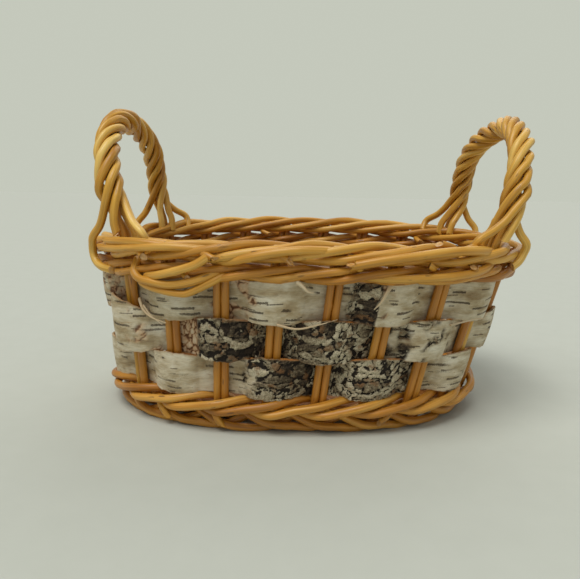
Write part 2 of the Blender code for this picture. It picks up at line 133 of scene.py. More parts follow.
def peak_offset(radius, spacing):
    """How far out a strand swings so that its straight run clears the stake pair."""
    half = spacing * CORNER_SPACING_SHARE / 2
    need = STAKE_RADIUS + radius + CLEARANCE
    run = half - STAKE_SPREAD
    return need * half / math.sqrt(run * run - need * need)


FOOT_SPACING = loop_lengths(FOOT_LENGTH / 2, FOOT_WIDTH / 2)[-1] / STATIONS
RIM_SPACING = loop_lengths(RIM_LENGTH / 2, RIM_WIDTH / 2)[-1] / STATIONS


class Wale:
    """Cross-section of a ring of three strands twined round the stakes."""

    strands = 3
    inside_step = 4

    def __init__(self, radius, spacing):
        self.radius = radius
        self.spacing = spacing
        self.peak = peak_offset(radius, spacing)
        self.lay = radius + CLEARANCE
        self.centre = (0.0, 0.0)

    def place(self, out, up):
        return self.centre[0] + out, self.centre[1] + up

    def section(self, half_step):
        belly = self.peak + WALE_BELLY
        places = (
            (self.peak, -self.lay),
            (belly, 0.0),
            (self.peak, self.lay),
            (0.0, self.lay),
            (-self.peak, 0.0),
            (0.0, -self.lay),
        )
        return self.place(*places[half_step % len(places)])

    def reach(self):
        return self.peak + WALE_BELLY + self.radius


class FootWale(Wale):
    def place(self, out, up):
        c, s = math.cos(FOOT_WALE_TILT), math.sin(FOOT_WALE_TILT)
        return (
            self.centre[0] + out * c + up * s,
            self.centre[1] - out * s + up * c,
        )


class UpsettWale(Wale):
    def place(self, out, up):
        drop = out * math.tan(UPSETT_TILT)
        return self.centre[0] + out, self.centre[1] + up - drop


class Border(Wale):
    """Cross-section of the rim's four-strand rope."""

    strands = 4
    inside_step = 5

    def section(self, half_step):
        belly = self.peak + WALE_BELLY
        places = (
            (self.peak, -self.lay),
            (belly, 0.0),
            (self.peak, self.lay),
            (0.0, BORDER_CREST),
            (-self.peak, self.lay),
            (-belly, 0.0),
            (-self.peak, -self.lay),
            (0.0, -BORDER_DIP),
        )
        return self.place(*places[half_step % len(places)])


foot_wale = FootWale(FOOT_WALE_RADIUS, FOOT_SPACING)
bend_rise = BEND_RADIUS * (1 - math.sin(FOOT_WALE_TILT))
foot_wale_depth = foot_wale.peak * math.sin(FOOT_WALE_TILT)
foot_wale_depth += foot_wale.lay * math.cos(FOOT_WALE_TILT) + FOOT_WALE_RADIUS
SPOKE_HEIGHT = foot_wale_depth - FOOT_FLAT_DEPTH - bend_rise
foot_wale.centre = (-BEND_RADIUS * (1 - math.cos(FOOT_WALE_TILT)), SPOKE_HEIGHT + bend_rise)
upsett_wale = UpsettWale(FOOT_WALE_RADIUS, FOOT_SPACING)
crossing_out, crossing_up = foot_wale.section(3)
rod_room = 2 * FOOT_WALE_RADIUS + CLEARANCE
upsett_rise = math.sqrt(rod_room**2 - crossing_out**2) + upsett_wale.lay
upsett_wale.centre = (0.0, crossing_up + upsett_rise)
border = Border(BORDER_RADIUS, RIM_SPACING)
border.centre = (0.0, RIM_HEIGHT - BORDER_CREST - BORDER_RADIUS)
rim_wale = Wale(RIM_WALE_RADIUS, RIM_SPACING)
border_low = border.centre[1] - BORDER_DIP - BORDER_RADIUS
rim_wale.centre = (0.0, border_low - CLEARANCE - RIM_WALE_RADIUS - rim_wale.lay)
upsett_top = max(upsett_wale.section(3)[1], upsett_wale.section(4)[1])
BARK_BOTTOM = upsett_top + FOOT_WALE_RADIUS + CLEARANCE
BARK_TOP = rim_wale.centre[1] - rim_wale.lay - RIM_WALE_RADIUS - CLEARANCE
FOOT_HALVES = [size / 2 - upsett_wale.reach() for size in (FOOT_LENGTH, FOOT_WIDTH)]
RIM_HALVES = [size / 2 - border.reach() for size in (RIM_LENGTH, RIM_WIDTH)]
STATION_LENGTHS = loop_lengths(*[sum(pair) / 2 for pair in zip(FOOT_HALVES, RIM_HALVES)])


def wall_points(stations, heights, outs, alongs=0.0):
    """Places on the wall for arrays of stations, heights and distances outward."""
    stations, heights, outs = np.broadcast_arrays(np.asarray(stations, float), heights, outs)
    turns, rest = np.divmod(stations / STATIONS, 1.0)
    steps = np.arange(TABLE_STEPS + 1)
    steps = np.interp(rest * STATION_LENGTHS[-1], STATION_LENGTHS, steps)
    angles = math.pi + 2 * math.pi * (steps / TABLE_STEPS + turns)
    low, high = upsett_wale.centre[1], border.centre[1]
    share = (heights - low) / (high - low)
    half_length = FOOT_HALVES[0] + (RIM_HALVES[0] - FOOT_HALVES[0]) * share
    half_width = FOOT_HALVES[1] + (RIM_HALVES[1] - FOOT_HALVES[1]) * share
    x, y = oval_unit(angles)
    normal_x = np.copysign(np.abs(x) ** (OVAL_POWER - 1), x) / half_length
    normal_y = np.copysign(np.abs(y) ** (OVAL_POWER - 1), y) / half_width
    size = np.hypot(normal_x, normal_y)
    normal_x, normal_y = normal_x / size, normal_y / size
    crown = RIM_CROWN * heights / RIM_HEIGHT
    across = x * half_length - FOOT_SHIFT * (1 - share) + normal_x * outs - normal_y * alongs
    deep = y * half_width + normal_y * outs + normal_x * alongs
    return np.stack((across, deep, heights - crown * np.cos(2 * angles)), axis=-1)


def wall_point(station, height, out=0.0, along=0.0):
    return Vector(wall_points([station], height, out, along)[0])


def wall_line(station, heights, along):
    return [wall_point(station, height, 0.0, along) for height in heights]


def wall_normal(station, height):
    inner, outer = wall_point(station, height), wall_point(station, height, 1.0)
    return (outer - inner).normalized()


# Rods

ROD_STEP = 0.0016
FEWEST_STEPS = 4
CURVE_STEPS = 8
SAME_PLACE = 1e-6
KNOT_SPACING = 0.042
KNOT_HEIGHT = 0.00032
KNOT_LENGTH = 0.0013
KNOT_COLLAR_SHARE = 0.15
SWELL_LENGTH = 0.035
SWELL_SHARE = 0.07
OVAL_SHARE = 0.03
TONE_LENGTH = 0.05
# A cut end's rings: share of the radius, height over the end, how much it shows the cut
CUT_RINGS = ((0.97, 0.00006, 0.7), (0.55, 0.00002, 1.0), (0.0, -0.00012, 0.3))
CUT_PLACE_SHARE = 0.3
ROD_SHARP_ANGLE = 48


def smooth_route(points, step=ROD_STEP):
    """Even steps along the smooth curve through the points, and their running lengths."""
    p = np.array([tuple(point) for point in points], float)
    keep = np.linalg.norm(np.diff(p, axis=0), axis=1) > SAME_PLACE
    p = p[np.concatenate(([True], keep))]
    p = np.vstack((2 * p[0] - p[1], p, 2 * p[-1] - p[-2]))
    knots = running_lengths(np.sqrt(np.linalg.norm(np.diff(p, axis=0), axis=1)))
    dense = [p[1]]
    for i in range(1, len(p) - 2):
        t0, t1, t2, t3 = knots[i - 1 : i + 3]
        t = np.linspace(t1, t2, CURVE_STEPS + 1)[1:, None]
        a1 = (t1 - t) / (t1 - t0) * p[i - 1] + (t - t0) / (t1 - t0) * p[i]
        a2 = (t2 - t) / (t2 - t1) * p[i] + (t - t1) / (t2 - t1) * p[i + 1]
        a3 = (t3 - t) / (t3 - t2) * p[i + 1] + (t - t2) / (t3 - t2) * p[i + 2]
        b1 = (t2 - t) / (t2 - t0) * a1 + (t - t0) / (t2 - t0) * a2
        b2 = (t3 - t) / (t3 - t1) * a2 + (t - t1) / (t3 - t1) * a3
        dense.extend((t2 - t) / (t2 - t1) * b1 + (t - t1) / (t2 - t1) * b2)
    dense = np.array(dense)
    lengths = running_lengths(np.linalg.norm(np.diff(dense, axis=0), axis=1))
    count = max(int(lengths[-1] / step), FEWEST_STEPS)
    at = np.linspace(0.0, lengths[-1], count + 1)
    return np.stack([np.interp(at, lengths, dense[:, i]) for i in range(3)], axis=1), at


def route_frames(route):
    """Tangents and two side vectors along a route, carried without twist."""
    tangents = np.gradient(route, axis=0)
    tangents /= np.linalg.norm(tangents, axis=1)[:, None]
    sides = np.empty_like(tangents)
    side = np.array(Vector(tangents[0]).orthogonal().normalized())
    for i, tangent in enumerate(tangents):
        side = side - tangent * side.dot(tangent)
        side /= np.linalg.norm(side)
        sides[i] = side
    return tangents, sides, np.cross(tangents, sides)


def make_mesh(name, points, faces, attributes, sharp_angle):
    """A smooth mesh with its points' attributes, sharp where faces meet steeply."""
    mesh = bpy.data.meshes.new(name)
    mesh.from_pydata(points, [], faces)
    mesh.update()
    for word, values in attributes.items():
        values = np.asarray(values, np.float32)
        kind, key = ("FLOAT", "value") if values.ndim == 1 else ("FLOAT_VECTOR", "vector")
        attribute = mesh.attributes.new(word, kind, "POINT")
        attribute.data.foreach_set(key, values.ravel())
    mesh.shade_smooth()
    mesh.set_sharp_from_angle(angle=math.radians(sharp_angle))
    return mesh


def new_piece(name, mesh, material, nodes=()):
    piece = bpy.data.objects.new(name, mesh)
    bpy.context.scene.collection.objects.link(piece)
    mesh.materials.append(material)
    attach(piece, "root")
    if nodes:
        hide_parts(*nodes)


class RodSet:
    """Gathers round rods with knots, uneven thickness and cut ends into one mesh."""

    sides = 10

    def __init__(self, seed):
        self.random = random.Random(seed)
        self.points = []
        self.faces = []
        self.places = []
        self.tones = []
        self.cuts = []

    def profile(self, at, radius, taper, around):
        """Radius at each step and side: taper, slow swells and knots."""
        offset = self.random.uniform(0, 50)
        length = at[-1]
        swell = [noise.noise(Vector((offset, s / SWELL_LENGTH, 0.5))) for s in at]
        radii = radius * (1 + taper * (0.5 - at / length)) * (1 + SWELL_SHARE * np.array(swell))
        oval = self.random.uniform(0, math.pi)
        table = radii[:, None] * (1 + OVAL_SHARE * np.cos(2 * (around - oval)))
        spot = self.random.uniform(0.2, 1.0) * KNOT_SPACING
        while spot < length - KNOT_LENGTH:
            facing = self.random.uniform(0, 2 * math.pi)
            height = KNOT_HEIGHT * self.random.uniform(0.4, 1.2)
            along = np.exp(-(((at - spot) / KNOT_LENGTH) ** 2))
            round_it = np.clip(np.cos(around - facing), 0, 1) ** 3 + KNOT_COLLAR_SHARE
            table += height * along[:, None] * round_it
            spot += KNOT_SPACING * self.random.uniform(0.5, 1.6)
        return table

    def add(self, points, radius, taper=0.0, slants=(0.5, 0.5), tone=None, step=ROD_STEP):
        sides = self.sides
        route, at = smooth_route(points, step)
        tangents, first, second = route_frames(route)
        around = 2 * math.pi * np.arange(sides) / sides
        table = self.profile(at, radius, taper, around)
        tone = self.random.uniform(-1, 1) if tone is None else tone
        start = self.random.uniform(0, 9)
        across, up = table * np.cos(around), table * np.sin(around)
        rings = route[:, None] + first[:, None] * across[..., None] + second[:, None] * up[..., None]
        for end, slant in zip((0, -1), slants):
            facing = self.random.uniform(0, 2 * math.pi)
            lift = slant * table[end] * np.cos(around - facing)
            rings[end] += tangents[end] * lift[:, None]
        base = len(self.points)
        along = np.broadcast_to((start + at)[:, None], table.shape)
        self.points += rings.reshape(-1, 3).tolist()
        self.places += np.stack((along, across, up), axis=-1).reshape(-1, 3).tolist()
        drift = [tone + 0.5 * noise.noise(Vector((start, s / TONE_LENGTH, 4.5))) for s in at]
        self.tones += [value for value in drift for _ in range(sides)]
        self.cuts += [0.0] * table.size
        last = base + table.size - sides
        for ring in range(base, last, sides):
            self.band(ring, ring + sides)
        for end, edge, way in ((0, base, -1), (-1, last, 1)):
            self.cap(rings[end], edge, tangents[end] * way, drift[end], start + at[end], way)

    def band(self, first, second, way=1):
        """Faces between two rings of points, given by their first points."""
        for j in range(self.sides):
            k = (j + 1) % self.sides
            face = (first + j, first + k, second + k, second + j)
            self.faces.append(face if way > 0 else face[::-1])

    def cap(self, ring, edge, outward, tone, place, way):
        """A cut face: a crisp edge, then a slightly dished end with its pith."""
        middle = ring.mean(axis=0)
        for share, height, cut in CUT_RINGS:
            start = len(self.points)
            points = middle + (ring - middle) * share + outward * height
            points = points if share else points[:1]
            self.points += points.tolist()
            places = CUT_PLACE_SHARE * (points - middle)[:, :2]
            self.places += [(place, *pair) for pair in places]
            self.tones += [tone] * len(points)
            self.cuts += [cut] * len(points)
            if share:
                self.band(edge, start, way)
                edge = start
        for j in range(self.sides):
            face = (edge + j, edge + (j + 1) % self.sides, start)
            self.faces.append(face if way > 0 else face[::-1])

    def finish(self, name, material, slot, nodes=()):
        # Nothing reaches below the floor that the basket stands on
        points = [(x, y, max(z, 0.0)) for x, y, z in self.points]
        looks = {"rod_place": self.places, "rod_tone": self.tones, "rod_cut": self.cuts}
        mesh = make_mesh(name, points, self.faces, looks, ROD_SHARP_ANGLE)
        new_piece(name, mesh, material, nodes)


def make_rod(node, points, radius, material, slot, seed):
    """The one rod that stands for a node of the model."""
    rods = RodSet(seed)
    rods.add(points, radius + FULLNESS)
    rods.finish(f"{node}_rod", material, slot, [node])


# Materials


class Graph:
    """Short calls for building one material's nodes."""

    def __init__(self, name):
        self.material = bpy.data.materials.new(name)
        self.material.use_nodes = True
        self.tree = self.material.node_tree
        self.shader = self.tree.nodes["Principled BSDF"]

    def node(self, kind, **settings):
        node = self.tree.nodes.new(kind)
        for key, value in settings.items():
            setattr(node, key, value)
        return node

    def put(self, socket, value):
        if isinstance(value, bpy.types.NodeSocket):
            self.tree.links.new(value, socket)
        else:
            socket.default_value = value

    def attribute(self, name, output="Vector"):
        return self.node("ShaderNodeAttribute", attribute_name=name).outputs[output]

    def scaled(self, vector, scale):
        node = self.node("ShaderNodeMapping")
        self.put(node.inputs["Vector"], vector)
        node.inputs["Scale"].default_value = scale
        return node.outputs["Vector"]

    def noise(self, vector, scale, detail=3.0, roughness=0.55, distortion=0.0):
        """Noise over a vector, as fine along each axis as the scale says, per metre."""
        node = self.node("ShaderNodeTexNoise")
        self.put(node.inputs["Vector"], self.scaled(vector, scale))
        node.inputs["Scale"].default_value = 1.0
        node.inputs["Detail"].default_value = detail
        node.inputs["Roughness"].default_value = roughness
        node.inputs["Distortion"].default_value = distortion
        return node.outputs["Fac"]

    def cells(self, vector, output):
        node = self.node("ShaderNodeTexVoronoi")
        self.put(node.inputs["Vector"], vector)
        node.inputs["Scale"].default_value = 1.0
        return node.outputs[output]

    def dice(self, vector, dimensions, output):
        node = self.node("ShaderNodeTexWhiteNoise", noise_dimensions=dimensions)
        self.put(node.inputs["Vector"], vector)
        return node.outputs[output]

    def ramp(self, factor, *stops):
        node = self.node("ShaderNodeValToRGB")
        self.put(node.inputs["Fac"], factor)
        elements = node.color_ramp.elements
        while len(elements) < len(stops):
            elements.new(0.5)
        for element, (position, colour) in zip(elements, stops):
            element.position = position
            if isinstance(colour, (int, float)):
                colour = (colour, colour, colour)
            element.color = (*colour, 1.0)
        return node.outputs["Color"]

    def mix(self, factor, first, second, blend="MIX"):
        node = self.node("ShaderNodeMix", data_type="RGBA", blend_type=blend)
        for key, value in ((0, factor), (6, first), (7, second)):
            if isinstance(value, tuple):
                value = (*value, 1.0)
            self.put(node.inputs[key], value)
        return node.outputs[2]

    def maths(self, operation, *values):
        node = self.node("ShaderNodeMath", operation=operation)
        for socket, value in zip(node.inputs, values):
            self.put(socket, value)
        return node.outputs[0]

    def plus(self, first, second):
        return self.maths("ADD", first, second)

    def minus(self, first, second):
        return self.maths("SUBTRACT", first, second)

    def times(self, first, second):
        return self.maths("MULTIPLY", first, second)

    def combine(self, x, y, z):
        node = self.node("ShaderNodeCombineXYZ")
        for socket, value in zip(node.inputs, (x, y, z)):
            self.put(socket, value)
        return node.outputs[0]

    def separate(self, vector):
        node = self.node("ShaderNodeSeparateXYZ")
        self.put(node.inputs[0], vector)
        return node.outputs

    def bump(self, height, distance, strength):
        node = self.node("ShaderNodeBump")
        self.put(node.inputs["Height"], height)
        node.inputs["Distance"].default_value = distance
        node.inputs["Strength"].default_value = strength
        return node.outputs["Normal"]

    def finish(self, colour, roughness, normal, specular):
        self.put(self.shader.inputs["Base Color"], colour)
        self.put(self.shader.inputs["Roughness"], roughness)
        self.put(self.shader.inputs["Normal"], normal)
        self.shader.inputs["Specular IOR Level"].default_value = specular
        return self.material


# How fine the patterns of willow are, per metre: along a rod, then across it twice
GRAIN = (45.0, 1500.0, 1500.0)
STREAK = (14.0, 420.0, 420.0)
BLOTCH = (28.0, 90.0, 90.0)
SPECK = (120.0, 520.0, 520.0)
SPECK_GROUP = (40.0, 40.0, 40.0)
CUT_RING = (900.0, 2600.0, 2600.0)
SPECK_COLOUR = (0.12, 0.05, 0.015)
# A relief's depth in metres, and its strength
WILLOW_RELIEF = (0.00028, 0.6)
SPECK_SIZE = 0.30
CUT_STOPS = ((0.35, (0.46, 0.25, 0.10)), (0.65, (0.74, 0.50, 0.24)))
CUT_SHARE = 0.8
# What makes a rod pale or deep in places, and where its three colours lie
TONE_WEIGHT = 0.11
STREAK_WEIGHT = 0.55
BLOTCH_WEIGHT = 0.45
WILLOW_STOPS = (0.24, 0.50, 0.76)
GRAIN_SHARE = 0.6
WILLOW_SPECULAR = 0.55
# Ramps, as (position, value) pairs
GRAIN_SHADES = ((0.34, 0.62), (0.58, 1.0))
SPECK_EDGE = ((0.0, 1.0), (0.04, 0.0))
SPECK_SPREAD = ((0.50, 0.0), (0.60, 0.7))


def make_willow(name, pale, middle, deep, roughness=0.36):
    """Peeled willow: long grain, soft blotches, small dark specks, pale cut ends."""
    g = Graph(name)
    place = g.attribute("rod_place")
    tone = g.attribute("rod_tone", "Fac")
    cut = g.attribute("rod_cut", "Fac")
    grain = g.noise(place, GRAIN, detail=4.0, roughness=0.6)
    streak = g.noise(place, STREAK, distortion=0.3)
    blotch = g.noise(place, BLOTCH, detail=2.0)
    level = g.plus(g.times(tone, TONE_WEIGHT), g.times(streak, STREAK_WEIGHT))
    level = g.plus(level, g.times(blotch, BLOTCH_WEIGHT))
    colour = g.ramp(level, *zip(WILLOW_STOPS, (deep, middle, pale)))
    colour = g.mix(GRAIN_SHARE, colour, g.ramp(grain, *GRAIN_SHADES), "MULTIPLY")
    cells = g.scaled(place, SPECK)
    pick = g.separate(g.cells(cells, "Color"))[0]
    mark = g.minus(g.cells(cells, "Distance"), g.times(pick, SPECK_SIZE))
    mark = g.ramp(mark, *SPECK_EDGE)
    mark = g.times(mark, g.ramp(g.noise(place, SPECK_GROUP), *SPECK_SPREAD))
    colour = g.mix(mark, colour, SPECK_COLOUR)
    rings = g.ramp(g.noise(place, CUT_RING, detail=2.0), *CUT_STOPS)
    colour = g.mix(g.times(cut, CUT_SHARE), colour, rings)
    rough = g.ramp(grain, (0.2, roughness - 0.07), (0.8, roughness + 0.12))
    relief = g.minus(g.plus(grain, g.times(streak, 0.8)), g.times(mark, 0.6))
    return g.finish(colour, rough, g.bump(relief, *WILLOW_RELIEF), WILLOW_SPECULAR)


DASH_SWAY = (38.0, 38.0, 38.0)
DASH_SWAY_ROWS = 1.3
DASH_SHIFT_COLUMNS = 9.0
DASH_BEADS = (1500.0, 500.0, 500.0)
DASH_EDGE = ((0.0, 0.0), (0.035, 1.0))
# A dash's place across its row and its half length along its cell: range, then least
DASH_CENTRE = (0.5, 0.25)
DASH_REACH = (0.36, 0.10)


def dashes(g, place, pitch, spacing, amount, thickness):
    """Long thin beaded lines along the bark, as a mask: at most one to each cell."""
    along, up, piece = g.separate(place)
    sway = g.noise(place, DASH_SWAY, detail=2.0)
    rows = g.plus(g.times(up, 1 / pitch), g.times(sway, DASH_SWAY_ROWS))
    row = g.maths("FLOOR", rows)
    shift = g.dice(g.combine(row, piece, 0.0), "2D", "Value")
    columns = g.plus(g.times(along, 1 / spacing), g.times(shift, DASH_SHIFT_COLUMNS))
    column = g.maths("FLOOR", columns)
    chances = g.dice(g.combine(row, column, piece), "3D", "Color")
    first, second, third = g.separate(chances)
    centre = g.maths("MULTIPLY_ADD", first, *DASH_CENTRE)
    across = g.maths("ABSOLUTE", g.minus(g.minus(rows, row), centre))
    beads = g.noise(place, DASH_BEADS, detail=2.0)
    line = g.minus(g.times(beads, 2 * thickness / pitch), across)
    away = g.maths("ABSOLUTE", g.minus(g.minus(columns, column), 0.5))
    reach = g.maths("MULTIPLY_ADD", second, *DASH_REACH)
    line = g.times(line, g.maths("LESS_THAN", away, reach))
    line = g.times(line, g.maths("LESS_THAN", third, amount))
    return g.ramp(line, *DASH_EDGE)


# How fine the patterns of bark are, per metre: along the strip, up it, and by its piece
CLOUD = (60.0, 140.0, 100.0)
FIBRE = (170.0, 1900.0, 400.0)
STAIN = (95.0, 210.0, 120.0)
DASH_GROUP = (34.0, 70.0, 50.0)
PATCH = (470.0, 620.0, 400.0)
CRUMB = (1300.0, 1800.0, 900.0)
WARM_PATCH = (130.0, 150.0, 120.0)
LINING_GRAIN = (120.0, 900.0, 300.0)
# Lenticels, wide groups and stray short ones: pitch, spacing, amount, thickness
LONG_DASHES = (0.0040, 0.022, 0.95, 0.00062)
SHORT_DASHES = (0.0031, 0.0095, 0.12, 0.00030)
SMOOTH_STOPS = (
    (0.28, (0.31, 0.215, 0.105)),
    (0.42, (0.49, 0.395, 0.24)),
    (0.55, (0.68, 0.60, 0.43)),
    (0.72, (0.84, 0.79, 0.64)),
)
PLATE_STOPS = (
    (0.05, (0.035, 0.023, 0.013)),
    (0.30, (0.120, 0.088, 0.052)),
    (0.52, (0.34, 0.275, 0.170)),
    (0.82, (0.66, 0.58, 0.40)),
)
FLAKE_STOPS = (
    (0.30, (0.13, 0.055, 0.022)),
    (0.42, (0.42, 0.24, 0.12)),
    (0.58, (0.60, 0.42, 0.25)),
    (0.74, (0.66, 0.53, 0.36)),
)
LINING_STOPS = ((0.3, (0.30, 0.165, 0.07)), (0.7, (0.52, 0.345, 0.18)))
BARK_RELIEF = (0.0007, 0.7)
BARK_SPECULAR = 0.3
FIBRE_SHARE = 0.75
DASH_SHARE = 0.85
CRUMB_SHARE = 0.9
PATCH_SHARE = 1.5
FIBRE_SHADES = ((0.30, 0.70), (0.60, 1.0))
STAIN_SPREAD = ((0.60, 0.0), (0.72, 0.7))
DASH_SPREAD = ((0.47, 0.0), (0.51, 1.0))
WARM_SPREAD = ((0.55, 0.0), (0.64, 0.7))
CRUMB_SHADES = ((0.36, 0.35), (0.54, 1.0))
CRACK_DEPTH = ((0.17, 1.0), (0.29, 0.0))
BARK_ROUGHNESS = ((0.2, 0.60), (0.8, 0.85))
STAIN_COLOUR = (0.40, 0.235, 0.095)
DASH_COLOUR = (0.05, 0.034, 0.02)
WARM_COLOUR = (0.27, 0.13, 0.048)
CRACK_COLOUR = (0.016, 0.010, 0.006)


def make_birch(name):
    """Birch bark: smooth with dark lenticels, rough and fissured, or tan and flaky."""
    g = Graph(name)
    place = g.attribute("bark_place")
    rough, tan, height = g.separate(g.attribute("bark_kind"))
    inner = g.attribute("bark_inner", "Fac")
    shade = g.attribute("bark_shade", "Fac")

    cloud = g.noise(place, CLOUD, detail=5.0, roughness=0.6)
    fibre = g.noise(place, FIBRE, detail=4.0, roughness=0.65)
    smooth = g.ramp(cloud, *SMOOTH_STOPS)
    smooth = g.mix(FIBRE_SHARE, smooth, g.ramp(fibre, *FIBRE_SHADES), "MULTIPLY")
    stain = g.noise(place, STAIN, detail=5.0, roughness=0.7)
    smooth = g.mix(g.ramp(stain, *STAIN_SPREAD), smooth, STAIN_COLOUR)
    groups = g.ramp(g.noise(place, DASH_GROUP, detail=1.0), *DASH_SPREAD)
    marks = g.times(groups, dashes(g, place, *LONG_DASHES))
    marks = g.mix(1.0, marks, dashes(g, place, *SHORT_DASHES), "LIGHTEN")
    smooth = g.mix(g.times(marks, DASH_SHARE), smooth, DASH_COLOUR)

    patch = g.noise(place, PATCH, detail=6.0, roughness=0.70)
    crumb = g.noise(place, CRUMB, detail=4.0, roughness=0.70)
    uneven = g.times(g.minus(patch, 0.5), PATCH_SHARE)
    plates = g.ramp(g.plus(shade, uneven), *PLATE_STOPS)
    warm = g.ramp(g.noise(place, WARM_PATCH, detail=4.0), *WARM_SPREAD)
    plates = g.mix(warm, plates, WARM_COLOUR)
    plates = g.mix(CRUMB_SHARE, plates, g.ramp(crumb, *CRUMB_SHADES), "MULTIPLY")
    crack = g.ramp(g.plus(height, uneven), *CRACK_DEPTH)
    plates = g.mix(crack, plates, CRACK_COLOUR)
    flaky = g.ramp(g.plus(g.times(height, 0.5), g.times(patch, 0.5)), *FLAKE_STOPS)

    colour = g.mix(tan, g.mix(rough, smooth, plates), flaky)
    lining = g.ramp(g.noise(place, LINING_GRAIN, detail=4.0), *LINING_STOPS)
    colour = g.mix(inner, colour, lining)
    relief = g.times(g.minus(g.plus(crumb, patch), crack), g.plus(rough, 0.10))
    relief = g.plus(relief, g.times(fibre, 0.30))
    relief = g.minus(relief, g.times(marks, 0.35))
    roughness = g.ramp(fibre, *BARK_ROUGHNESS)
    return g.finish(colour, roughness, g.bump(relief, *BARK_RELIEF), BARK_SPECULAR)


# Each willow's pale, middle and deep colour
stake_willow = make_willow(
    "stake_willow", (0.62, 0.29, 0.034), (0.51, 0.205, 0.018), (0.34, 0.11, 0.008)
)
# The wale's colours are the willow's own, painted darker as painted shade under the border
wale_willow = make_willow(
    "wale_willow", (0.795, 0.455, 0.090), (0.58, 0.250, 0.022), (0.32, 0.110, 0.008)
)
border_willow = make_willow(
    "border_willow", (0.86, 0.535, 0.120), (0.645, 0.310, 0.032), (0.35, 0.122, 0.007)
)
# The handle's colours are the willow's own, painted paler as painted light on the bows
handle_willow = make_willow(
    "handle_willow", (0.93, 0.65, 0.180), (0.73, 0.395, 0.048), (0.42, 0.17, 0.013)
)
base_willow = make_willow(
    "base_willow", (0.50, 0.25, 0.06), (0.40, 0.165, 0.026), (0.26, 0.09, 0.011), 0.5
)
peel_willow = make_willow(
    "bark_peel", (0.74, 0.63, 0.43), (0.60, 0.45, 0.26), (0.36, 0.21, 0.09), 0.6
)
birch = make_birch("birch_bark")


# Stakes

UPRIGHT_STEPS = 5
BEND_STEPS = 6


def stake_bend(station, along):
    """A stake's points from the border down the wall and in under the base."""
    top = border.centre[1] + border.lay
    heights = np.linspace(top, SPOKE_HEIGHT + BEND_RADIUS, UPRIGHT_STEPS)[:-1]
    points = wall_line(station, heights, along)
    for turn in np.linspace(0.0, math.pi / 2, BEND_STEPS):
        out = -BEND_RADIUS * (1 - math.cos(turn))
        height = SPOKE_HEIGHT + BEND_RADIUS * (1 - math.sin(turn))
        points.append(wall_point(station, height, out, along))
    return points


def turn_point(station, along):
    normal = wall_normal(station, SPOKE_HEIGHT)
    inset = TURN_IN - along * normal.x / (1 + abs(normal.y))
    return wall_point(station, SPOKE_HEIGHT, -BEND_RADIUS - inset, along)


def make_stake(node, points, seed):
    make_rod(node, points, STAKE_RADIUS, stake_willow, "willow_stake", seed)


def make_stakes():
    half = STATIONS // 2
    bow_sides = {HANDLE_STATION: "left", half - HANDLE_STATION: "right"}
    low = STAKE_RADIUS + CLEARANCE
    for station in range(1, half):
        for word, sign in (("left", -1), ("right", 1)):
            # A handle's bow stands in this stake's place
            if bow_sides.get(station) == word:
                continue
            along = sign * STAKE_SPREAD
            corner = turn_point(station, along)
            middle = [
                corner,
                Vector((corner.x, -CROSSING_REACH, low)),
                Vector((corner.x, CROSSING_REACH, low)),
                Vector((corner.x, -corner.y, corner.z)),
            ]
            back = stake_bend(STATIONS - station, -along)
            points = stake_bend(station, along) + middle + back[::-1]
            seed = SEEDS["cross_stake"] + 2 * station + (sign > 0)
            make_stake(f"cross_stake_{station:02d}_{word}", points, seed)
    high = 3 * STAKE_RADIUS + 2 * CLEARANCE
    for along, word in ((-STAKE_SPREAD, "back"), (STAKE_SPREAD, "front")):
        left, right = stake_bend(0, along), stake_bend(half, -along)
        middle = [
            Vector((left[-1].x + TURN_IN, left[-1].y, high)),
            Vector((right[-1].x - TURN_IN, right[-1].y, high)),
        ]
        seed = SEEDS["long_stake"] + (along > 0)
        make_stake(f"long_stake_{word}", left + middle + right[::-1], seed)


# Wales and border

# A strand is cut a little after its first half station and before its last one
STRAND_START = 0.53
STRAND_END = 0.47


def ring_points(ring, first, last, offset, direction, seed):
    """A strand's points at each half station, wandering a little."""
    dice = random.Random(seed)
    wander = FOOT_WANDER if ring is foot_wale else WANDER
    points = []
    for step in (first + STRAND_START, *range(first + 1, last + 1), last + STRAND_END):
        low = math.floor(step)
        share = step - low
        a, b = ring.section(low + offset), ring.section(low + 1 + offset)
        out = a[0] + (b[0] - a[0]) * share + dice.uniform(-0.6, 1.0) * wander
        height = a[1] + (b[1] - a[1]) * share + dice.uniform(-1, 1) * wander
        points.append(wall_point(direction * step / 2, height, out))
    return points


def make_wale(name, ring, direction):
    """One strand that goes three times round, cut in three where it lies inside."""
    steps_round = 2 * STATIONS
    cuts = []
    for i in range(ring.strands + 1):
        past_whole_turns = i * steps_round % (2 * ring.strands)
        cuts.append(ring.inside_step + i * steps_round - past_whole_turns)
    for i, ends in enumerate(zip(cuts, cuts[1:])):
        seed = SEEDS[name] + i
        points = ring_points(ring, *ends, 0, direction, seed)
        node = f"{name}_rod_{i + 1}"
        make_rod(node, points, ring.radius, wale_willow, "willow_wale", seed)


def make_border():
    """Two strands that go twice round, each cut in two."""
    steps_round = 2 * STATIONS
    for loop in range(2):
        offset = 2 * loop
        first = border.inside_step - offset
        middle = first + steps_round - border.strands
        last = first + 2 * steps_round
        for i, ends in enumerate(((first, middle), (middle, last))):
            seed = SEEDS["border"] + 2 * loop + i
            points = ring_points(border, *ends, offset, 1, seed)
            node = f"border_rod_{2 * loop + i + 1}"
            make_rod(node, points, BORDER_RADIUS, border_willow, "willow_border", seed)


# Loose ends: their places are (station, height, out), in millimetres

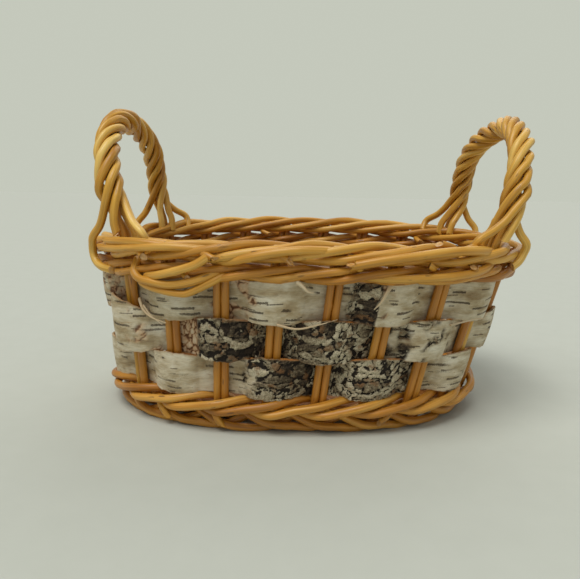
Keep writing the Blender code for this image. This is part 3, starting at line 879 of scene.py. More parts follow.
STUB_RADIUS = 0.0017
STUB_STEP = 0.0006
LOOSE_SLANTS = (0.9, 0.9)
STUB_SLANTS = (0.5, 1.4)
LOOSE_TONE = 0.2
PALE_TONE = 0.9
LOOSE_RODS = {
    "loop": (
        (2.38, 90, 3.0), (2.45, 85.5, 7.5), (2.58, 82.5, 9.3), (2.84, 81, 9.8),
        (3.19, 80, 9.8), (3.52, 81.5, 9.6), (3.80, 84, 8.2), (4.05, 87, 3.5),
    ),
    "kinked": (
        (2.46, 86, 4.0), (2.60, 80.5, 8.2), (3.01, 77, 9.4), (3.44, 75.8, 9.6),
        (3.52, 76.3, 9.4), (3.95, 82.5, 8.0), (4.15, 86, 3.5),
    ),
    "pale": (
        (2.74, 83.5, 7.0), (2.95, 84.5, 9.4), (3.20, 86.3, 10.6), (3.69, 91, 11.0),
        (3.86, 94.2, 10.8),
    ),
    "left_upper": ((1.80, 100.5, 8.0), (2.2, 100.8, 8.2), (2.7, 100.6, 7.4), (3.3, 98, 4.0)),
    "left_lower": (
        (1.62, 96.5, 8.8), (2.1, 97.0, 9.2), (2.6, 98.0, 9.0), (3.2, 98.8, 7.6), (3.8, 97.5, 4.0),
    ),
    "right_upper": (
        (6.20, 91.5, 8.6), (6.6, 94, 9.4), (7.1, 96.5, 9.6), (7.65, 98.9, 9.2),
        (8.1, 99.6, 8.4), (8.5, 99.2, 6.2), (8.85, 98.0, 2.0),
    ),
    "right_lower": (
        (6.55, 85.5, 2.5), (6.85, 85.2, 6.8), (7.3, 85.8, 9.2), (7.75, 86.6, 9.6),
        (8.2, 87.8, 9.2), (8.6, 89.6, 7.0), (8.95, 91.5, 2.5),
    ),
    "middle_upper": (
        (3.9, 91.0, 1.0), (4.25, 92.6, 6.0), (4.6, 95.2, 8.8), (5.0, 97.6, 9.4),
        (5.4, 98.6, 8.6), (5.75, 98.2, 6.0), (6.05, 97.0, 1.5),
    ),
}
# Short cut ends that stick out between the rods
STUBS = {
    "left": ((2.52, 97.2, 5.5), (2.62, 95.6, 7.8), (2.73, 93.8, 9.6)),
    "under": ((3.34, 87.5, 5.0), (3.43, 85.6, 7.6), (3.52, 83.8, 9.4)),
    "frayed": ((3.72, 96.5, 6.0), (3.84, 95.4, 8.4), (3.97, 94.0, 9.8)),
    "middle": ((4.98, 95.8, 5.5), (5.08, 94.9, 8.0), (5.17, 93.8, 9.4)),
    "centre": ((6.34, 89.6, 5.5), (6.26, 91.0, 8.0), (6.17, 92.4, 9.4)),
    "right": ((7.60, 90.0, 5.5), (7.52, 91.2, 8.0), (7.44, 92.4, 9.4)),
    "far_right": ((8.44, 89.4, 5.5), (8.36, 90.4, 8.0), (8.28, 91.4, 9.4)),
    "knot": ((7.94, 100.6, 1.0), (7.80, 101.7, 1.6), (7.66, 102.4, 2.2)),
    "back_left": ((19.9, 95.5, 5.5), (20.0, 94.5, 8.0), (20.1, 93.2, 9.2)),
    "back": ((15.3, 96.0, 5.5), (15.4, 95.0, 8.0), (15.5, 93.8, 9.2)),
    "foot_left": ((2.62, 12.5, 3.5), (2.74, 9.0, 5.4), (2.84, 5.5, 5.2)),
    "foot": ((3.86, 12.0, 3.5), (3.97, 8.0, 5.4), (4.06, 4.0, 4.8)),
    "foot_right": ((7.52, 12.0, 3.5), (7.42, 9.5, 5.4), (7.30, 6.5, 5.4)),
    "inside_left": ((17.6, 92.0, -5.5), (17.5, 91.0, -8.0), (17.4, 90.0, -9.2)),
    "inside_right": ((13.6, 92.0, -5.5), (13.5, 91.0, -8.0), (13.4, 90.0, -9.2)),
}
# Torn fibres at the ends of some stubs
FRAYED = ("frayed", "middle", "centre", "back")
FIBRES = 7
FIBRE_RADIUS = 0.00022
FIBRE_LENGTH = 0.0042
FIBRE_TAPER = 1.2
FIBRE_SPREAD = 0.35
# Peeling slivers of bark, each with its radius and its places
SLIVERS = (
    (0.55, ((2.30, 69, 2.0), (2.5, 64.5, 5.5), (2.75, 61.3, 7.4), (3.05, 59.4, 8.0))),
    (0.40, ((2.45, 66, 3.5), (2.7, 62.4, 6.8), (2.98, 58.4, 8.6))),
    (0.80, ((5.32, 83, 6.5), (5.42, 81, 7.6), (5.52, 78.5, 8.0), (5.62, 77.6, 6.6))),
    (0.75, ((6.92, 81.5, 4.8), (6.85, 77.5, 6.6), (6.79, 73.5, 6.9), (6.70, 69.5, 5.8))),
    (0.45, ((5.05, 61, 6.4), (5.4, 59.4, 7.6), (5.8, 61.8, 7.0), (6.1, 63.8, 4.5))),
    (0.40, ((8.3, 59.5, 4.6), (8.6, 61.2, 6.2), (8.9, 62.0, 7.4), (9.1, 61.0, 7.6))),
    (0.45, ((16.2, 61, 5.0), (16.6, 59.2, 7.4), (17.0, 58.2, 8.4))),
    (0.45, ((19.4, 79, 5.0), (19.2, 77, 7.4), (19.0, 74.5, 8.0))),
)
SLIVER_TAPER = 1.3
SLIVER_STEP = 0.0008


def loose_route(places):
    return [
        wall_point(station, height * MILLIMETRE, out * MILLIMETRE)
        for station, height, out in places
    ]


def fray(rods, end, ahead):
    """Torn fibres round a stub's end."""
    for _ in range(FIBRES):
        side = Vector([rods.random.uniform(-1, 1) for _ in range(3)])
        start = end + side * STUB_RADIUS * 0.6 - ahead * FIBRE_LENGTH / 3
        bend = (ahead + side * FIBRE_SPREAD).normalized() * FIBRE_LENGTH
        bend *= rods.random.uniform(0.3, 0.8)
        tip = start + bend + side * STUB_RADIUS * rods.random.uniform(0.1, 0.6)
        route = [start, start.lerp(tip, 0.6), tip]
        rods.add(route, FIBRE_RADIUS, taper=FIBRE_TAPER, step=STUB_STEP)


def make_loose_ends():
    rods = RodSet(SEEDS["loose_rods"])
    for name, places in LOOSE_RODS.items():
        radius = STUB_RADIUS if name == "kinked" else BORDER_RADIUS
        tone = PALE_TONE if name == "pale" else LOOSE_TONE
        rods.add(loose_route(places), radius + FULLNESS, slants=LOOSE_SLANTS, tone=tone)
    for name, places in STUBS.items():
        route = loose_route(places)
        rods.add(route, STUB_RADIUS, slants=STUB_SLANTS, step=STUB_STEP)
        if name in FRAYED:
            fray(rods, route[-1], (route[-1] - route[-2]).normalized())
    rods.finish("rim_loose_rods", border_willow, "willow_border")
    peel = RodSet(SEEDS["slivers"])
    for radius, places in SLIVERS:
        route = loose_route(places)
        peel.add(route, radius * MILLIMETRE, SLIVER_TAPER, tone=PALE_TONE, step=SLIVER_STEP)
    peel.finish("bark_slivers", peel_willow, "birch_bark")


# Bark

BARK_STEP = 0.0006
BARK_THICKNESS = 0.0013
BARK_SPACING = RIM_SPACING * 0.93
BARK_END_GAP = 0.02
BARK_SHARP_ANGLE = 60
BARK_SWING_OUT = 0.0050
BARK_SWING_IN = 0.0034
SWING_POWER = 0.68
BARK_EDGE_GROWTH = 0.0017
BARK_EDGE_WANDER = 0.0011
BARK_TEAR = 0.0007
BARK_CURL = 0.0009
BARK_TILT = 0.0010
BARK_LIFT = 0.0016
BARK_SOFT = 0.00025
# Lengths over which these shapes vary
EDGE_DRIFT_LENGTH = 0.031
EDGE_TEAR_LENGTH = 0.0055
TILT_LENGTH = 0.035
LIFT_LENGTH = 0.013
SOFT_LENGTH = 0.008
SOFT_WIDTH = 0.012
EDGE_SHARE = 0.28
EDGE_LINING = 0.4
PLATE_LENGTH = 0.0060
PLATE_WIDTH = 0.0040
PLATE_HEIGHT = 0.0013
PLATE_REST_SHARE = 0.45
TAN_PLATE_SHARE = 0.55
CRACK_SHARE = 0.26
# What bends the plates' outlines, coarse and fine, and the lumps on them
WARP_LENGTH = 0.009
WARP_SHARE = 0.9
FINE_LENGTH = 0.0024
FINE_SHARE = 0.24
LEAN_LENGTH = 0.03
PLATE_LEAN = 1.1
LUMP_LENGTH = 0.0034
LUMP_WIDTH = 0.0030
LUMP_SHARE = 0.30
# How ragged the line is between two kinds of bark, and how soft
KIND_JITTER = 0.40
JITTER_LENGTH = 0.007
KIND_EDGE = (0.38, 0.62)
# The middle row's bulge beside the left handle, which stands well out and up
FLAP_STATION = 1.70
FLAP_REACH = 0.60
FLAP_OUT = 0.0045
FLAP_RISE = 0.0075


def bark_swing(stations, weave):
    """Distance outward: past the stakes at every second station, inside the others."""
    wave = np.cos(math.pi * (stations + weave + 1))
    wave = np.sign(wave) * np.abs(wave) ** SWING_POWER
    return np.where(wave > 0, wave * BARK_SWING_OUT, wave * BARK_SWING_IN)


def zone_values(stations, zones):
    """How rough, tan and dark the bark is at each station, read from its row."""
    spots, *kinds = zip(*zones)
    return [np.interp(stations, spots, kind) for kind in kinds]


def smoothstep(low, high, value):
    t = min(max((value - low) / (high - low), 0.0), 1.0)
    return t * t * (3 - 2 * t)


def simple(*place):
    return noise.noise(Vector(place))


def rugged(place, dimension, octaves):
    return noise.fractal(Vector(place), dimension, 2.0, octaves)


def plate_at(s, z, seed):
    """Rough bark's height, from 0 in a crack to 1 on a plate, and the plate's shade."""
    warp = noise.noise_vector(Vector((s / WARP_LENGTH, z / WARP_LENGTH, seed + 5.0)))
    fine = noise.noise_vector(Vector((s / FINE_LENGTH, z / FINE_LENGTH, seed + 9.0)))
    lean = PLATE_LEAN * simple(s / LEAN_LENGTH, seed, 1.7)
    u = (s + lean * z) / PLATE_LENGTH + WARP_SHARE * warp.x + FINE_SHARE * fine.x
    v = z / PLATE_WIDTH + WARP_SHARE * warp.y + FINE_SHARE * fine.y
    near, spots = noise.voronoi(Vector((u, v, seed * 3.1)))
    crack = smoothstep(0.0, CRACK_SHARE, near[1] - near[0])
    shade = 0.5 + 0.5 * noise.cell(spots[0])
    lumps = noise.fractal(Vector((s / LUMP_LENGTH, z / LUMP_WIDTH, seed)), 0.7, 2.1, 4)
    height = crack * (0.62 + 0.25 * shade) + LUMP_SHARE * lumps
    return min(max(height, 0.0), 1.0), shade


def bark_edge(s, height, way, grow, outward, seed):
    """Height of a strip's upper or lower edge: grown where it bulges, and torn."""
    drift = BARK_EDGE_WANDER * simple(s / EDGE_DRIFT_LENGTH, seed, 2.0 * way) * outward
    tear = BARK_TEAR * rugged((s / EDGE_TEAR_LENGTH, seed, 7.0 * way), 0.8, 4)
    return height + way * grow + drift + tear * (0.35 + 0.65 * outward)


def sheet_faces(columns, rows):
    """Faces of a thick sheet: its front, its back and the four sides between them."""
    width = rows + 1
    count = (columns + 1) * width
    faces = []
    for i in range(columns):
        for a in range(i * width, i * width + rows):
            quad = (a, a + width, a + width + 1, a + 1)
            faces.append(quad)
            faces.append(tuple(count + k for k in reversed(quad)))
    low = [(i * width, width, 1) for i in range(columns)]
    high = [(i * width + rows, width, -1) for i in range(columns)]
    first = [(j, 1, -1) for j in range(rows)]
    last = [(columns * width + j, 1, 1) for j in range(rows)]
    for a, ahead, way in low + high + first + last:
        faces.append((a, count + a, count + a + ahead, a + ahead)[::way])
    return faces


def make_bark_strip(node, first, last, low, high, weave, zones, seed):
    columns = int((last - first) * BARK_SPACING / BARK_STEP)
    rows = int((high - low) / BARK_STEP)
    stations = np.linspace(first + BARK_END_GAP, last - BARK_END_GAP, columns + 1)
    away = (stations - STATIONS * (stations > STATIONS / 2) - FLAP_STATION) / FLAP_REACH
    flap = weave * np.exp(-(away**2))
    swing = bark_swing(stations, weave) + FLAP_OUT * flap
    rough_row, tan_row, dark_row = zone_values(stations % STATIONS, zones)
    front, back = [], []
    kinds, places, shades, lining = [], [], [], []
    for i, station in enumerate(stations):
        s = station * BARK_SPACING
        outward = min(max(swing[i] / BARK_SWING_OUT, 0.0), 1.0)
        inward = max(-swing[i] / BARK_SWING_IN, 0.0)
        grow = BARK_EDGE_GROWTH * (outward + 0.3 * inward)
        top = bark_edge(s, high, 1, grow, outward, seed) + FLAP_RISE * flap[i]
        bottom = bark_edge(s, low, -1, grow, outward, seed)
        tilt = BARK_TILT * simple(s / TILT_LENGTH, seed, 3.1) * outward
        lift = BARK_LIFT * max(simple(s / LIFT_LENGTH, seed, 6.4), 0.0) * outward
        for j in range(rows + 1):
            share = j / rows
            z = bottom + (top - bottom) * share
            across = 2 * share - 1
            jitter = KIND_JITTER * rugged((s / JITTER_LENGTH, z / JITTER_LENGTH, seed), 0.8, 2)
            rough = smoothstep(*KIND_EDGE, rough_row[i] + jitter)
            tan = smoothstep(*KIND_EDGE, tan_row[i] + jitter)
            plate, shade = plate_at(s, z, seed)
            soft = BARK_SOFT * rugged((s / SOFT_LENGTH, z / SOFT_WIDTH, seed), 0.9, 3)
            edge = max(abs(across) - (1 - EDGE_SHARE), 0.0) / EDGE_SHARE
            curl = -BARK_CURL * across * across * outward + tilt * across + lift * edge**2
            height = max(rough, TAN_PLATE_SHARE * tan) * PLATE_HEIGHT * (plate - PLATE_REST_SHARE)
            out = swing[i] + curl + soft + height
            front.append((station, z, out + BARK_THICKNESS / 2))
            back.append((station, z, swing[i] + curl + soft * 0.5 - BARK_THICKNESS / 2))
            kinds.append((rough, tan, plate))
            places.append((s, z, seed * 0.1))
            shades.append(0.15 + 0.85 * shade - 0.30 * dark_row[i])
            lining.append(EDGE_LINING if j in (0, rows) or i in (0, columns) else 0.0)
    points = wall_points(*np.array(front + back).T).tolist()
    looks = {
        "bark_place": places + places,
        "bark_kind": kinds + kinds,
        "bark_inner": lining + [1.0] * len(lining),
        "bark_shade": shades + shades,
    }
    mesh = make_mesh(node, points, sheet_faces(columns, rows), looks, BARK_SHARP_ANGLE)
    new_piece(f"{node}_bark", mesh, birch, [node])


# Each row's bark: a station, then how rough, tan and dark it is there (below 0 is pale)
BARK_ZONES = {
    # In the top row near station 1.5 the tan is partly the bark's own and partly painted shade from
    # the rim above
    "top": (
        (0.0, 0, 0.2, 0), (1.5, 0.1, 0.55, 0), (2.3, 0, 0.2, 0), (3.6, 0, 0.1, 0),
        (4.15, 0, 0.40, 0), (4.5, 0.1, 0.45, 0), (4.8, 0, 0, 0), (6.0, 0.1, 0, 0),
        (6.2, 0.42, 0, 0.2), (6.6, 0.85, 0, 0.1), (6.78, 0.7, 0.1, 0.6), (6.84, 0, 0.35, 0),
        (7.2, 0, 0.1, 0), (9.0, 0, 0.1, 0), (10.4, 0, 0, 0), (11.2, 0.8, 0, 1),
        (13.0, 0.7, 0, 0.6), (13.6, 0, 0, 0), (17.0, 0, 0.2, 0), (18.0, 0.9, 0, 0.8),
        (20.0, 0.8, 0, 1), (20.8, 0, 0, 0), (22.0, 0, 0.2, 0),
    ),
    "middle": (
        (0.0, 0.1, 0.2, 0), (0.9, 0.1, 0.5, 0), (1.3, 0.2, 0.3, 0), (1.8, 0.1, 0.1, 0),
        (2.3, 0.1, 0.42, 0), (2.8, 0.25, 0.35, 0), (3.0, 0, 0.9, 0), (3.5, 0.1, 0.9, 0),
        (3.62, 0.9, 0.1, 0.3), (4.0, 1, 0, 0.5), (4.5, 1, 0, 1), (5.0, 1, 0, 0.7),
        (5.5, 1, 0, 0.6), (6.0, 1, 0, 0), (6.5, 1, 0, -0.4), (7.0, 1, 0, 0.6),
        (7.3, 0.45, 0, 0.7), (7.9, 0.42, 0, 0.6), (8.6, 0.25, 0, 0.4), (9.2, 0.1, 0.3, 0),
        (10.5, 0, 0, 0), (12.0, 0, 0.1, 0), (12.8, 0.9, 0, 1), (15.0, 1, 0, 0.6),
        (15.6, 0, 0, 0), (18.0, 0, 0, 0), (18.5, 0, 0.9, 0), (19.5, 0.2, 0.6, 0),
        (20.0, 0.9, 0, 1), (21.2, 0.2, 0, 0.5), (22.0, 0.1, 0.2, 0),
    ),
    "bottom": (
        (0.0, 0, 0, 0), (2.0, 0, 0, 0), (4.0, 0, 0, 0), (4.4, 0.35, 0, 0.3),
        (4.75, 0.75, 0, 0.1), (5.0, 1, 0, 0.0), (5.5, 1, 0, 0.8), (6.1, 1, 0, 0.8),
        (6.4, 1, 0, -0.5), (7.4, 1, 0, -0.6), (7.8, 0.9, 0, 0.0), (8.1, 0.25, 0, 0.1),
        (8.5, 0.15, 0, 0), (11.0, 0, 0, 0), (12.0, 0.1, 0.2, 0), (13.0, 0.1, 0, 0),
        (14.0, 1, 0, 0.8), (16.4, 0.9, 0, 0.3), (17.0, 0, 0, 0), (19.5, 0, 0, 0),
        (20.2, 0.8, 0.1, 0.7), (21.4, 0.2, 0, 0), (22.0, 0, 0, 0),
    ),
}


# The stations from a row's first end to the place where its two strips meet
FIRST_STRIP_STATIONS = 12


def make_bark():
    rows = ("bottom", "middle", "top")
    pitch = (BARK_TOP - BARK_BOTTOM + ROW_GAP) / len(rows)
    for row, word in enumerate(rows):
        low = BARK_BOTTOM + row * pitch
        high = low + pitch - ROW_GAP
        weave = row % 2
        start = weave + 2 * row
        ends = (start, start + FIRST_STRIP_STATIONS, start + STATIONS)
        for i in range(2):
            node = f"bark_strip_{word}_{i + 1}"
            seed = 10 * row + 3 * i + 1
            make_bark_strip(node, *ends[i : i + 2], low, high, weave, BARK_ZONES[word], seed)


# Base weave

BASE_RIBS = 30
BASE_RINGS = 7
BASE_SIDES = 8
BASE_WEAVER_RADIUS = 0.0009
BASE_RIB_RADIUS = 0.0009
BASE_PITCH = 0.00175
BASE_SWING = 0.0008
BASE_CENTRE = 4 * STAKE_RADIUS + 3 * CLEARANCE + BASE_THICKNESS / 2
BASE_OUT = foot_wale.section(foot_wale.inside_step)[0] - FOOT_WALE_RADIUS - CLEARANCE
BASE_WEAVER_STEP = 0.0024
BASE_RIB_STEP = 0.004
BASE_RIB_OUT = -0.001
BASE_RIB_SHARES = (0.0, 0.35, 0.7, 0.97)


def base_place(rib, inward, out=0.0):
    """A place on the mat: round it by its ribs, and inward from edge to middle."""
    edge = wall_point(rib * STATIONS / BASE_RIBS, BASE_CENTRE, BASE_OUT + out)
    left = wall_point(0.0, BASE_CENTRE, BASE_OUT)
    right = wall_point(STATIONS / 2, BASE_CENTRE, BASE_OUT)
    middle = (left.x + right.x) / 2
    core_share = 1 - FOOT_HALVES[1] / FOOT_HALVES[0]
    core = Vector((middle + (edge.x - middle) * core_share, 0.0, 0.0))
    place = edge.lerp(core, inward)
    place.z = BASE_CENTRE
    return place


def make_base():
    """Ribs, and one weaver that winds inward over and under them in bands."""
    rods = RodSet(SEEDS["base"])
    rods.sides = BASE_SIDES
    half_width = -wall_point(STATIONS / 4, BASE_CENTRE, BASE_OUT).y
    ring_share = 1 / (BASE_RINGS - 0.5)
    turn_share = BASE_PITCH / half_width
    turns = (1 - turn_share) / turn_share
    points = []
    for i in range(int(turns * BASE_RIBS)):
        inward = turn_share * i / BASE_RIBS
        ring = round(inward / ring_share)
        place = base_place(i % BASE_RIBS, inward, -BASE_WEAVER_RADIUS)
        under = (i + ring) % 2 or ring >= BASE_RINGS - 1
        place.z += -BASE_SWING if under else BASE_SWING
        points.append(place)
    rods.add(points, BASE_WEAVER_RADIUS, step=BASE_WEAVER_STEP)
    for i in range(BASE_RIBS):
        route = [base_place(i, share, BASE_RIB_OUT) for share in BASE_RIB_SHARES]
        rods.add(route, BASE_RIB_RADIUS, step=BASE_RIB_STEP)
    rods.finish("base_weave_rods", base_willow, "willow_base", ["base_weave"])


# Handles

# How far each bow leans out in its front half and in at its back half
HANDLE_BULGES = {"left": (0.0022, 0.0042), "right": (0.0, 0.0058)}
ARCH_STEPS = 48
LEG_HEIGHTS = (SPOKE_HEIGHT + BEND_RADIUS, 0.05, 0.08)
PATH_STEP = 0.0015
PATH_NEAR = 0.003
FLARE_LENGTH = 0.0250
FLARE_TURN = math.radians(90)
FLARE_POWER = 2.4
FLARE_STEPS = 4
FIRST_WRAP_ANGLE = math.radians(-56)
OPEN_REACHES = (0.0047, 0.0180, 0.0065, 0.0085)
WRAP_LANDING = 0.0022
WRAP_STEPS = 12
WRAP_TURN_WANDER = 0.10
# The first wrap's tail: stations ahead, height and distance out, in millimetres
LONG_TAIL = (
    (0.09, 97.5, 0.0), (0.13, 92.5, 0.0), (0.06, 88.2, -0.4), (-0.12, 85.6, -1.2),
    (-0.36, 84.4, -3.6),
)
SHORT_TAIL = ((0.06, 97.0, -0.4), (0.02, 92.5, -1.0), (-0.10, 89.5, -2.4))
KINK_LENGTH = 0.0045
# Where a wrap stands out in a kink: length along the bow, direction, distance
KINKS = {
    "left": ((0.029, 0.0, 0.0034), (0.094, math.pi, 0.0030)),
    "right": ((0.030, 0.0, 0.0014), (0.062, 0.0, 0.0016)),
}
WRAP_REST = BOW_RADIUS + WRAP_RADIUS + 2 * CLEARANCE
TAIL_DEPTH = 0.0050
TAIL_OUT = -0.0030
RIM_CLEAR = max(border.reach(), rim_wale.reach()) + WRAP_RADIUS + CLEARANCE


def handle_legs(side):
    """Station and place along the wall of a bow's front leg and its back leg."""
    half = STATIONS // 2
    front = HANDLE_STATION if side < 0 else half - HANDLE_STATION
    return (front, side * STAKE_SPREAD), (STATIONS - front, -side * STAKE_SPREAD)


def arch_line(side, overhang, bulges):
    """The bow's centre line above the rim, from its front leg to its back leg."""
    (front, front_along), (back, back_along) = handle_legs(side)
    first = wall_point(front, RIM_HEIGHT, 0.0, front_along)
    last = wall_point(back, RIM_HEIGHT, 0.0, back_along)
    points = []
    for i in range(ARCH_STEPS + 1):
        turn = math.pi * i / ARCH_STEPS
        rise = max(math.sin(turn), 0.0)
        place = first.lerp(last, (1 - math.cos(turn)) / 2)
        # The real bows are no even arches: they stand out in front and in at the back
        lean = bulges[0] if i < ARCH_STEPS / 2 else -bulges[1]
        place.x += side * (overhang * rise**OVERHANG_POWER + lean * math.sin(2 * turn) ** 2)
        place.z += HANDLE_HEIGHT * rise**HEIGHT_POWER
        points.append(place)
    return points


class Path:
    """A bow's line on one side of the basket, read by its running length."""

    def __init__(self, points, side):
        self.side = side
        self.route, self.at = smooth_route(points, PATH_STEP)
        self.length = self.at[-1]

    def point(self, length):
        return Vector([np.interp(length, self.at, self.route[:, i]) for i in range(3)])

    def square(self, length):
        """Two unit vectors square to the bow, the first one pointing outward."""
        low, high = max(length - PATH_NEAR, 0.0), min(length + PATH_NEAR, self.length)
        along = (self.point(high) - self.point(low)).normalized()
        outer = Vector((self.side, 0.0, 0.0))
        outer = (outer - along * outer.dot(along)).normalized()
        return outer, along.cross(outer)

    def beside(self, length, angle, reach):
        outer, other = self.square(length)
        way = outer * math.cos(angle) + other * math.sin(angle)
        return self.point(length) + way * reach


def wrap_angle(role):
    """Direction from the leg in which a rod lands, measured from straight outward."""
    return FIRST_WRAP_ANGLE + 2 * math.pi * role / WRAPS


def wrap_reach(role):
    """How far from the leg a rod lands: the first one passes outside the rim."""
    return (RIM_CLEAR / math.cos(wrap_angle(0)), *OPEN_REACHES)[role]


def hook_points(landing_station, way, tail):
    """The first wrap's tail, outside the rim: turned back along it, or cut short."""
    return [
        wall_point(landing_station + way * ahead, height * MILLIMETRE, RIM_CLEAR + out * MILLIMETRE)
        for ahead, height, out in tail
    ]


def flare_points(path, from_front, role):
    """A wrap's end, from its place at the rim to where it meets the bow."""
    side = path.side
    base = 0.0 if from_front else path.length
    way = 1 if from_front else -1
    station, along = handle_legs(side)[0 if from_front else 1]
    normal = wall_normal(station, RIM_HEIGHT)
    outer, other = path.square(base)
    face = math.atan2(other.dot(normal), outer.dot(normal))
    angle = wrap_angle(role)
    target = face - side * angle
    reach = wrap_reach(role)
    landing_along = along - side * way * reach * math.sin(angle)
    landing_station = station + landing_along / RIM_SPACING
    landing = 0.0 if role == 0 else WRAP_LANDING
    out = reach * math.cos(angle)
    place = wall_point(landing_station, RIM_HEIGHT + landing, out)
    shift = place - path.beside(base, target, reach)
    points = []
    for i in range(FLARE_STEPS):
        share = i / FLARE_STEPS
        spread = WRAP_REST + (reach - WRAP_REST) * (1 - share) ** FLARE_POWER
        turn = target + way * FLARE_TURN * share**2
        spot = path.beside(base + way * FLARE_LENGTH * share, turn, spread)
        points.append(spot + shift * (1 - share) ** 2)
    if role == 0:
        tail = SHORT_TAIL if side > 0 else LONG_TAIL
        points = hook_points(landing_station, side * way, tail)[::-1] + points
    elif role > 1:
        # The other ends go on down between the border's rods
        depth = RIM_HEIGHT - TAIL_DEPTH
        points.insert(0, wall_point(landing_station, depth, min(out, TAIL_OUT)))
    return points, target


def make_wrap(node, path, start_role, kinks, seed):
    """One rod wound round a handle's bow, from the front leg to the back leg."""
    dice = random.Random(seed)
    wound = path.length - 2 * FLARE_LENGTH
    shift = round((wound / WRAP_PITCH + FLARE_TURN / math.pi) * WRAPS)
    end_role = (start_role - path.side * shift) % WRAPS
    front, front_angle = flare_points(path, True, start_role)
    back, back_angle = flare_points(path, False, end_role)
    start_angle = front_angle + FLARE_TURN
    full_turn = 2 * math.pi * shift / WRAPS
    drift = math.remainder(back_angle - front_angle - full_turn, 2 * math.pi)
    turn = full_turn - 2 * FLARE_TURN + drift
    steps = round(turn / (2 * math.pi) * WRAP_STEPS)
    middle = []
    for i in range(steps + 1):
        share = i / steps
        length = FLARE_LENGTH + wound * share
        wander = dice.uniform(-WRAP_TURN_WANDER, WRAP_TURN_WANDER)
        angle = start_angle + turn * share + wander
        reach = WRAP_REST + dice.uniform(-0.3, 0.9) * WANDER
        for spot, facing, size in kinks:
            near = math.exp(-(((length - spot) / KINK_LENGTH) ** 2))
            reach += size * near * max(math.cos(angle - facing), 0.0) ** 4
        middle.append(path.beside(length, angle, reach))
    points = front + middle + back[::-1]
    make_rod(node, points, WRAP_RADIUS, handle_willow, "willow_handle", seed)


def make_handle(word):
    side = -1 if word == "left" else 1
    seed = SEEDS[f"{word}_handle"]
    arch = arch_line(side, HANDLE_OVERHANG[word], HANDLE_BULGES[word])
    front, back = [wall_line(station, LEG_HEIGHTS, along) for station, along in handle_legs(side)]
    points = front + arch + back[::-1]
    make_rod(f"{word}_handle_bow", points, BOW_RADIUS, handle_willow, "willow_handle", seed)
    path = Path(arch, side)
    for role in range(WRAPS):
        wrap = f"{word}_handle_wrap_{role + 1}"
        make_wrap(wrap, path, role, KINKS[word], seed + 1 + role)


# Floor, light and camera

FLOOR_SIZE = 6.0
FLOOR_SPECKLE = (60.0, 60.0, 60.0)
FLOOR_STOPS = ((0.3, (0.510, 0.542, 0.486)), (0.7, (0.524, 0.556, 0.500)))
FLOOR_ROUGHNESS = 0.9
# Each sun's direction, energy, softness in degrees and colour
SUNS = {
    "key": ((0.26, 0.32, -1.0), 1.85, 32.0, (1.0, 0.975, 0.93)),
    "back": ((-0.25, -0.75, -0.75), 0.55, 50.0, (1.0, 0.98, 0.95)),
}
STUDIO_COLOUR = (0.90, 0.90, 0.86, 1.0)
STUDIO_STRENGTH = 0.44
BACKDROP_COLOUR = (0.555, 0.58, 0.50, 1.0)


def make_floor():
    bpy.ops.mesh.primitive_plane_add(size=FLOOR_SIZE)
    floor = bpy.context.object
    floor.name = "floor"
    g = Graph("floor_paper")
    speckle = g.noise(g.node("ShaderNodeTexCoord").outputs["Object"], FLOOR_SPECKLE)
    g.put(g.shader.inputs["Base Color"], g.ramp(speckle, *FLOOR_STOPS))
    g.shader.inputs["Roughness"].default_value = FLOOR_ROUGHNESS
    floor.data.materials.append(g.material)


def make_suns():
    for name, (towards, energy, softness, colour) in SUNS.items():
        data = bpy.data.lights.new(name, "SUN")
        data.energy = energy
        data.angle = math.radians(softness)
        data.color = colour
        lamp = bpy.data.objects.new(name, data)
        bpy.context.scene.collection.objects.link(lamp)
        lamp.rotation_euler = Vector(towards).to_track_quat("-Z", "Y").to_euler()


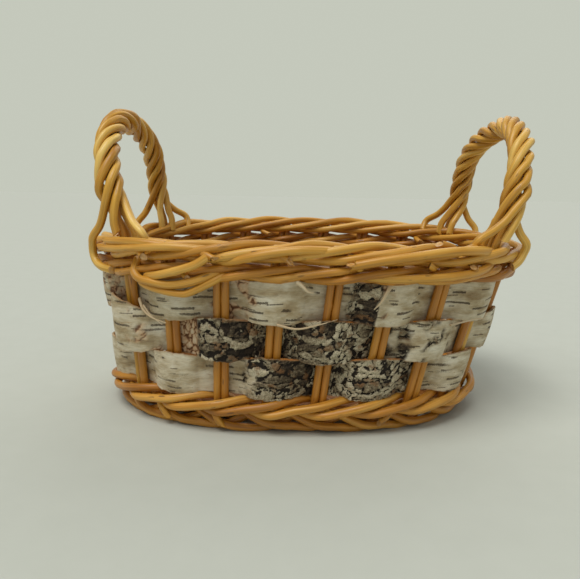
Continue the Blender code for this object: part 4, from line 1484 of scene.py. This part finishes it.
def make_world():
    """Soft light from all round; the camera sees the backdrop's colour instead."""
    world = bpy.data.worlds.new("studio")
    bpy.context.scene.world = world
    world.use_nodes = True
    tree = world.node_tree
    studio = tree.nodes["Background"]
    studio.inputs["Color"].default_value = STUDIO_COLOUR
    studio.inputs["Strength"].default_value = STUDIO_STRENGTH
    backdrop = tree.nodes.new("ShaderNodeBackground")
    backdrop.inputs["Color"].default_value = BACKDROP_COLOUR
    backdrop.inputs["Strength"].default_value = 1.0
    rays = tree.nodes.new("ShaderNodeLightPath")
    mix = tree.nodes.new("ShaderNodeMixShader")
    tree.links.new(rays.outputs["Is Camera Ray"], mix.inputs["Fac"])
    tree.links.new(studio.outputs["Background"], mix.inputs[1])
    tree.links.new(backdrop.outputs["Background"], mix.inputs[2])
    tree.links.new(mix.outputs["Shader"], tree.nodes["World Output"].inputs["Surface"])
    bpy.context.scene.view_settings.view_transform = "Standard"


# The camera as fitted to the photograph, with its turns in radians
CAMERA_PLACE = Vector((-0.0083, -0.3663, 0.1371))
CAMERA_YAW = -0.004
CAMERA_PITCH = 0.196
CAMERA_ROLL = 0.0182
CAMERA_NEAREST = 0.01
FOCAL_PIXELS = 592.7
IMAGE_WIDTH_PIXELS = 580


def make_camera():
    data = bpy.data.cameras.new("camera")
    data.sensor_fit = "HORIZONTAL"
    data.lens = data.sensor_width * FOCAL_PIXELS / IMAGE_WIDTH_PIXELS
    data.clip_start = CAMERA_NEAREST
    data.dof.use_dof = False
    camera = bpy.data.objects.new("camera", data)
    bpy.context.scene.collection.objects.link(camera)
    level = math.cos(CAMERA_PITCH)
    forward = Vector(
        (math.sin(CAMERA_YAW) * level, math.cos(CAMERA_YAW) * level, -math.sin(CAMERA_PITCH))
    )
    right = Vector((math.cos(CAMERA_YAW), -math.sin(CAMERA_YAW), 0.0))
    up = right.cross(forward)
    c, s = math.cos(CAMERA_ROLL), math.sin(CAMERA_ROLL)
    axes = (right * c + up * s, up * c - right * s, -forward)
    camera.matrix_world = Matrix.Translation(CAMERA_PLACE) @ Matrix(axes).transposed().to_4x4()
    bpy.context.scene.camera = camera


make_camera()
make_stakes()
make_wale("foot_wale", foot_wale, -1)
make_wale("upsett_wale", upsett_wale, 1)
make_wale("rim_wale", rim_wale, 1)
make_border()
make_loose_ends()
make_bark()
make_base()
make_handle("left")
make_handle("right")
make_floor()
make_suns()
make_world()
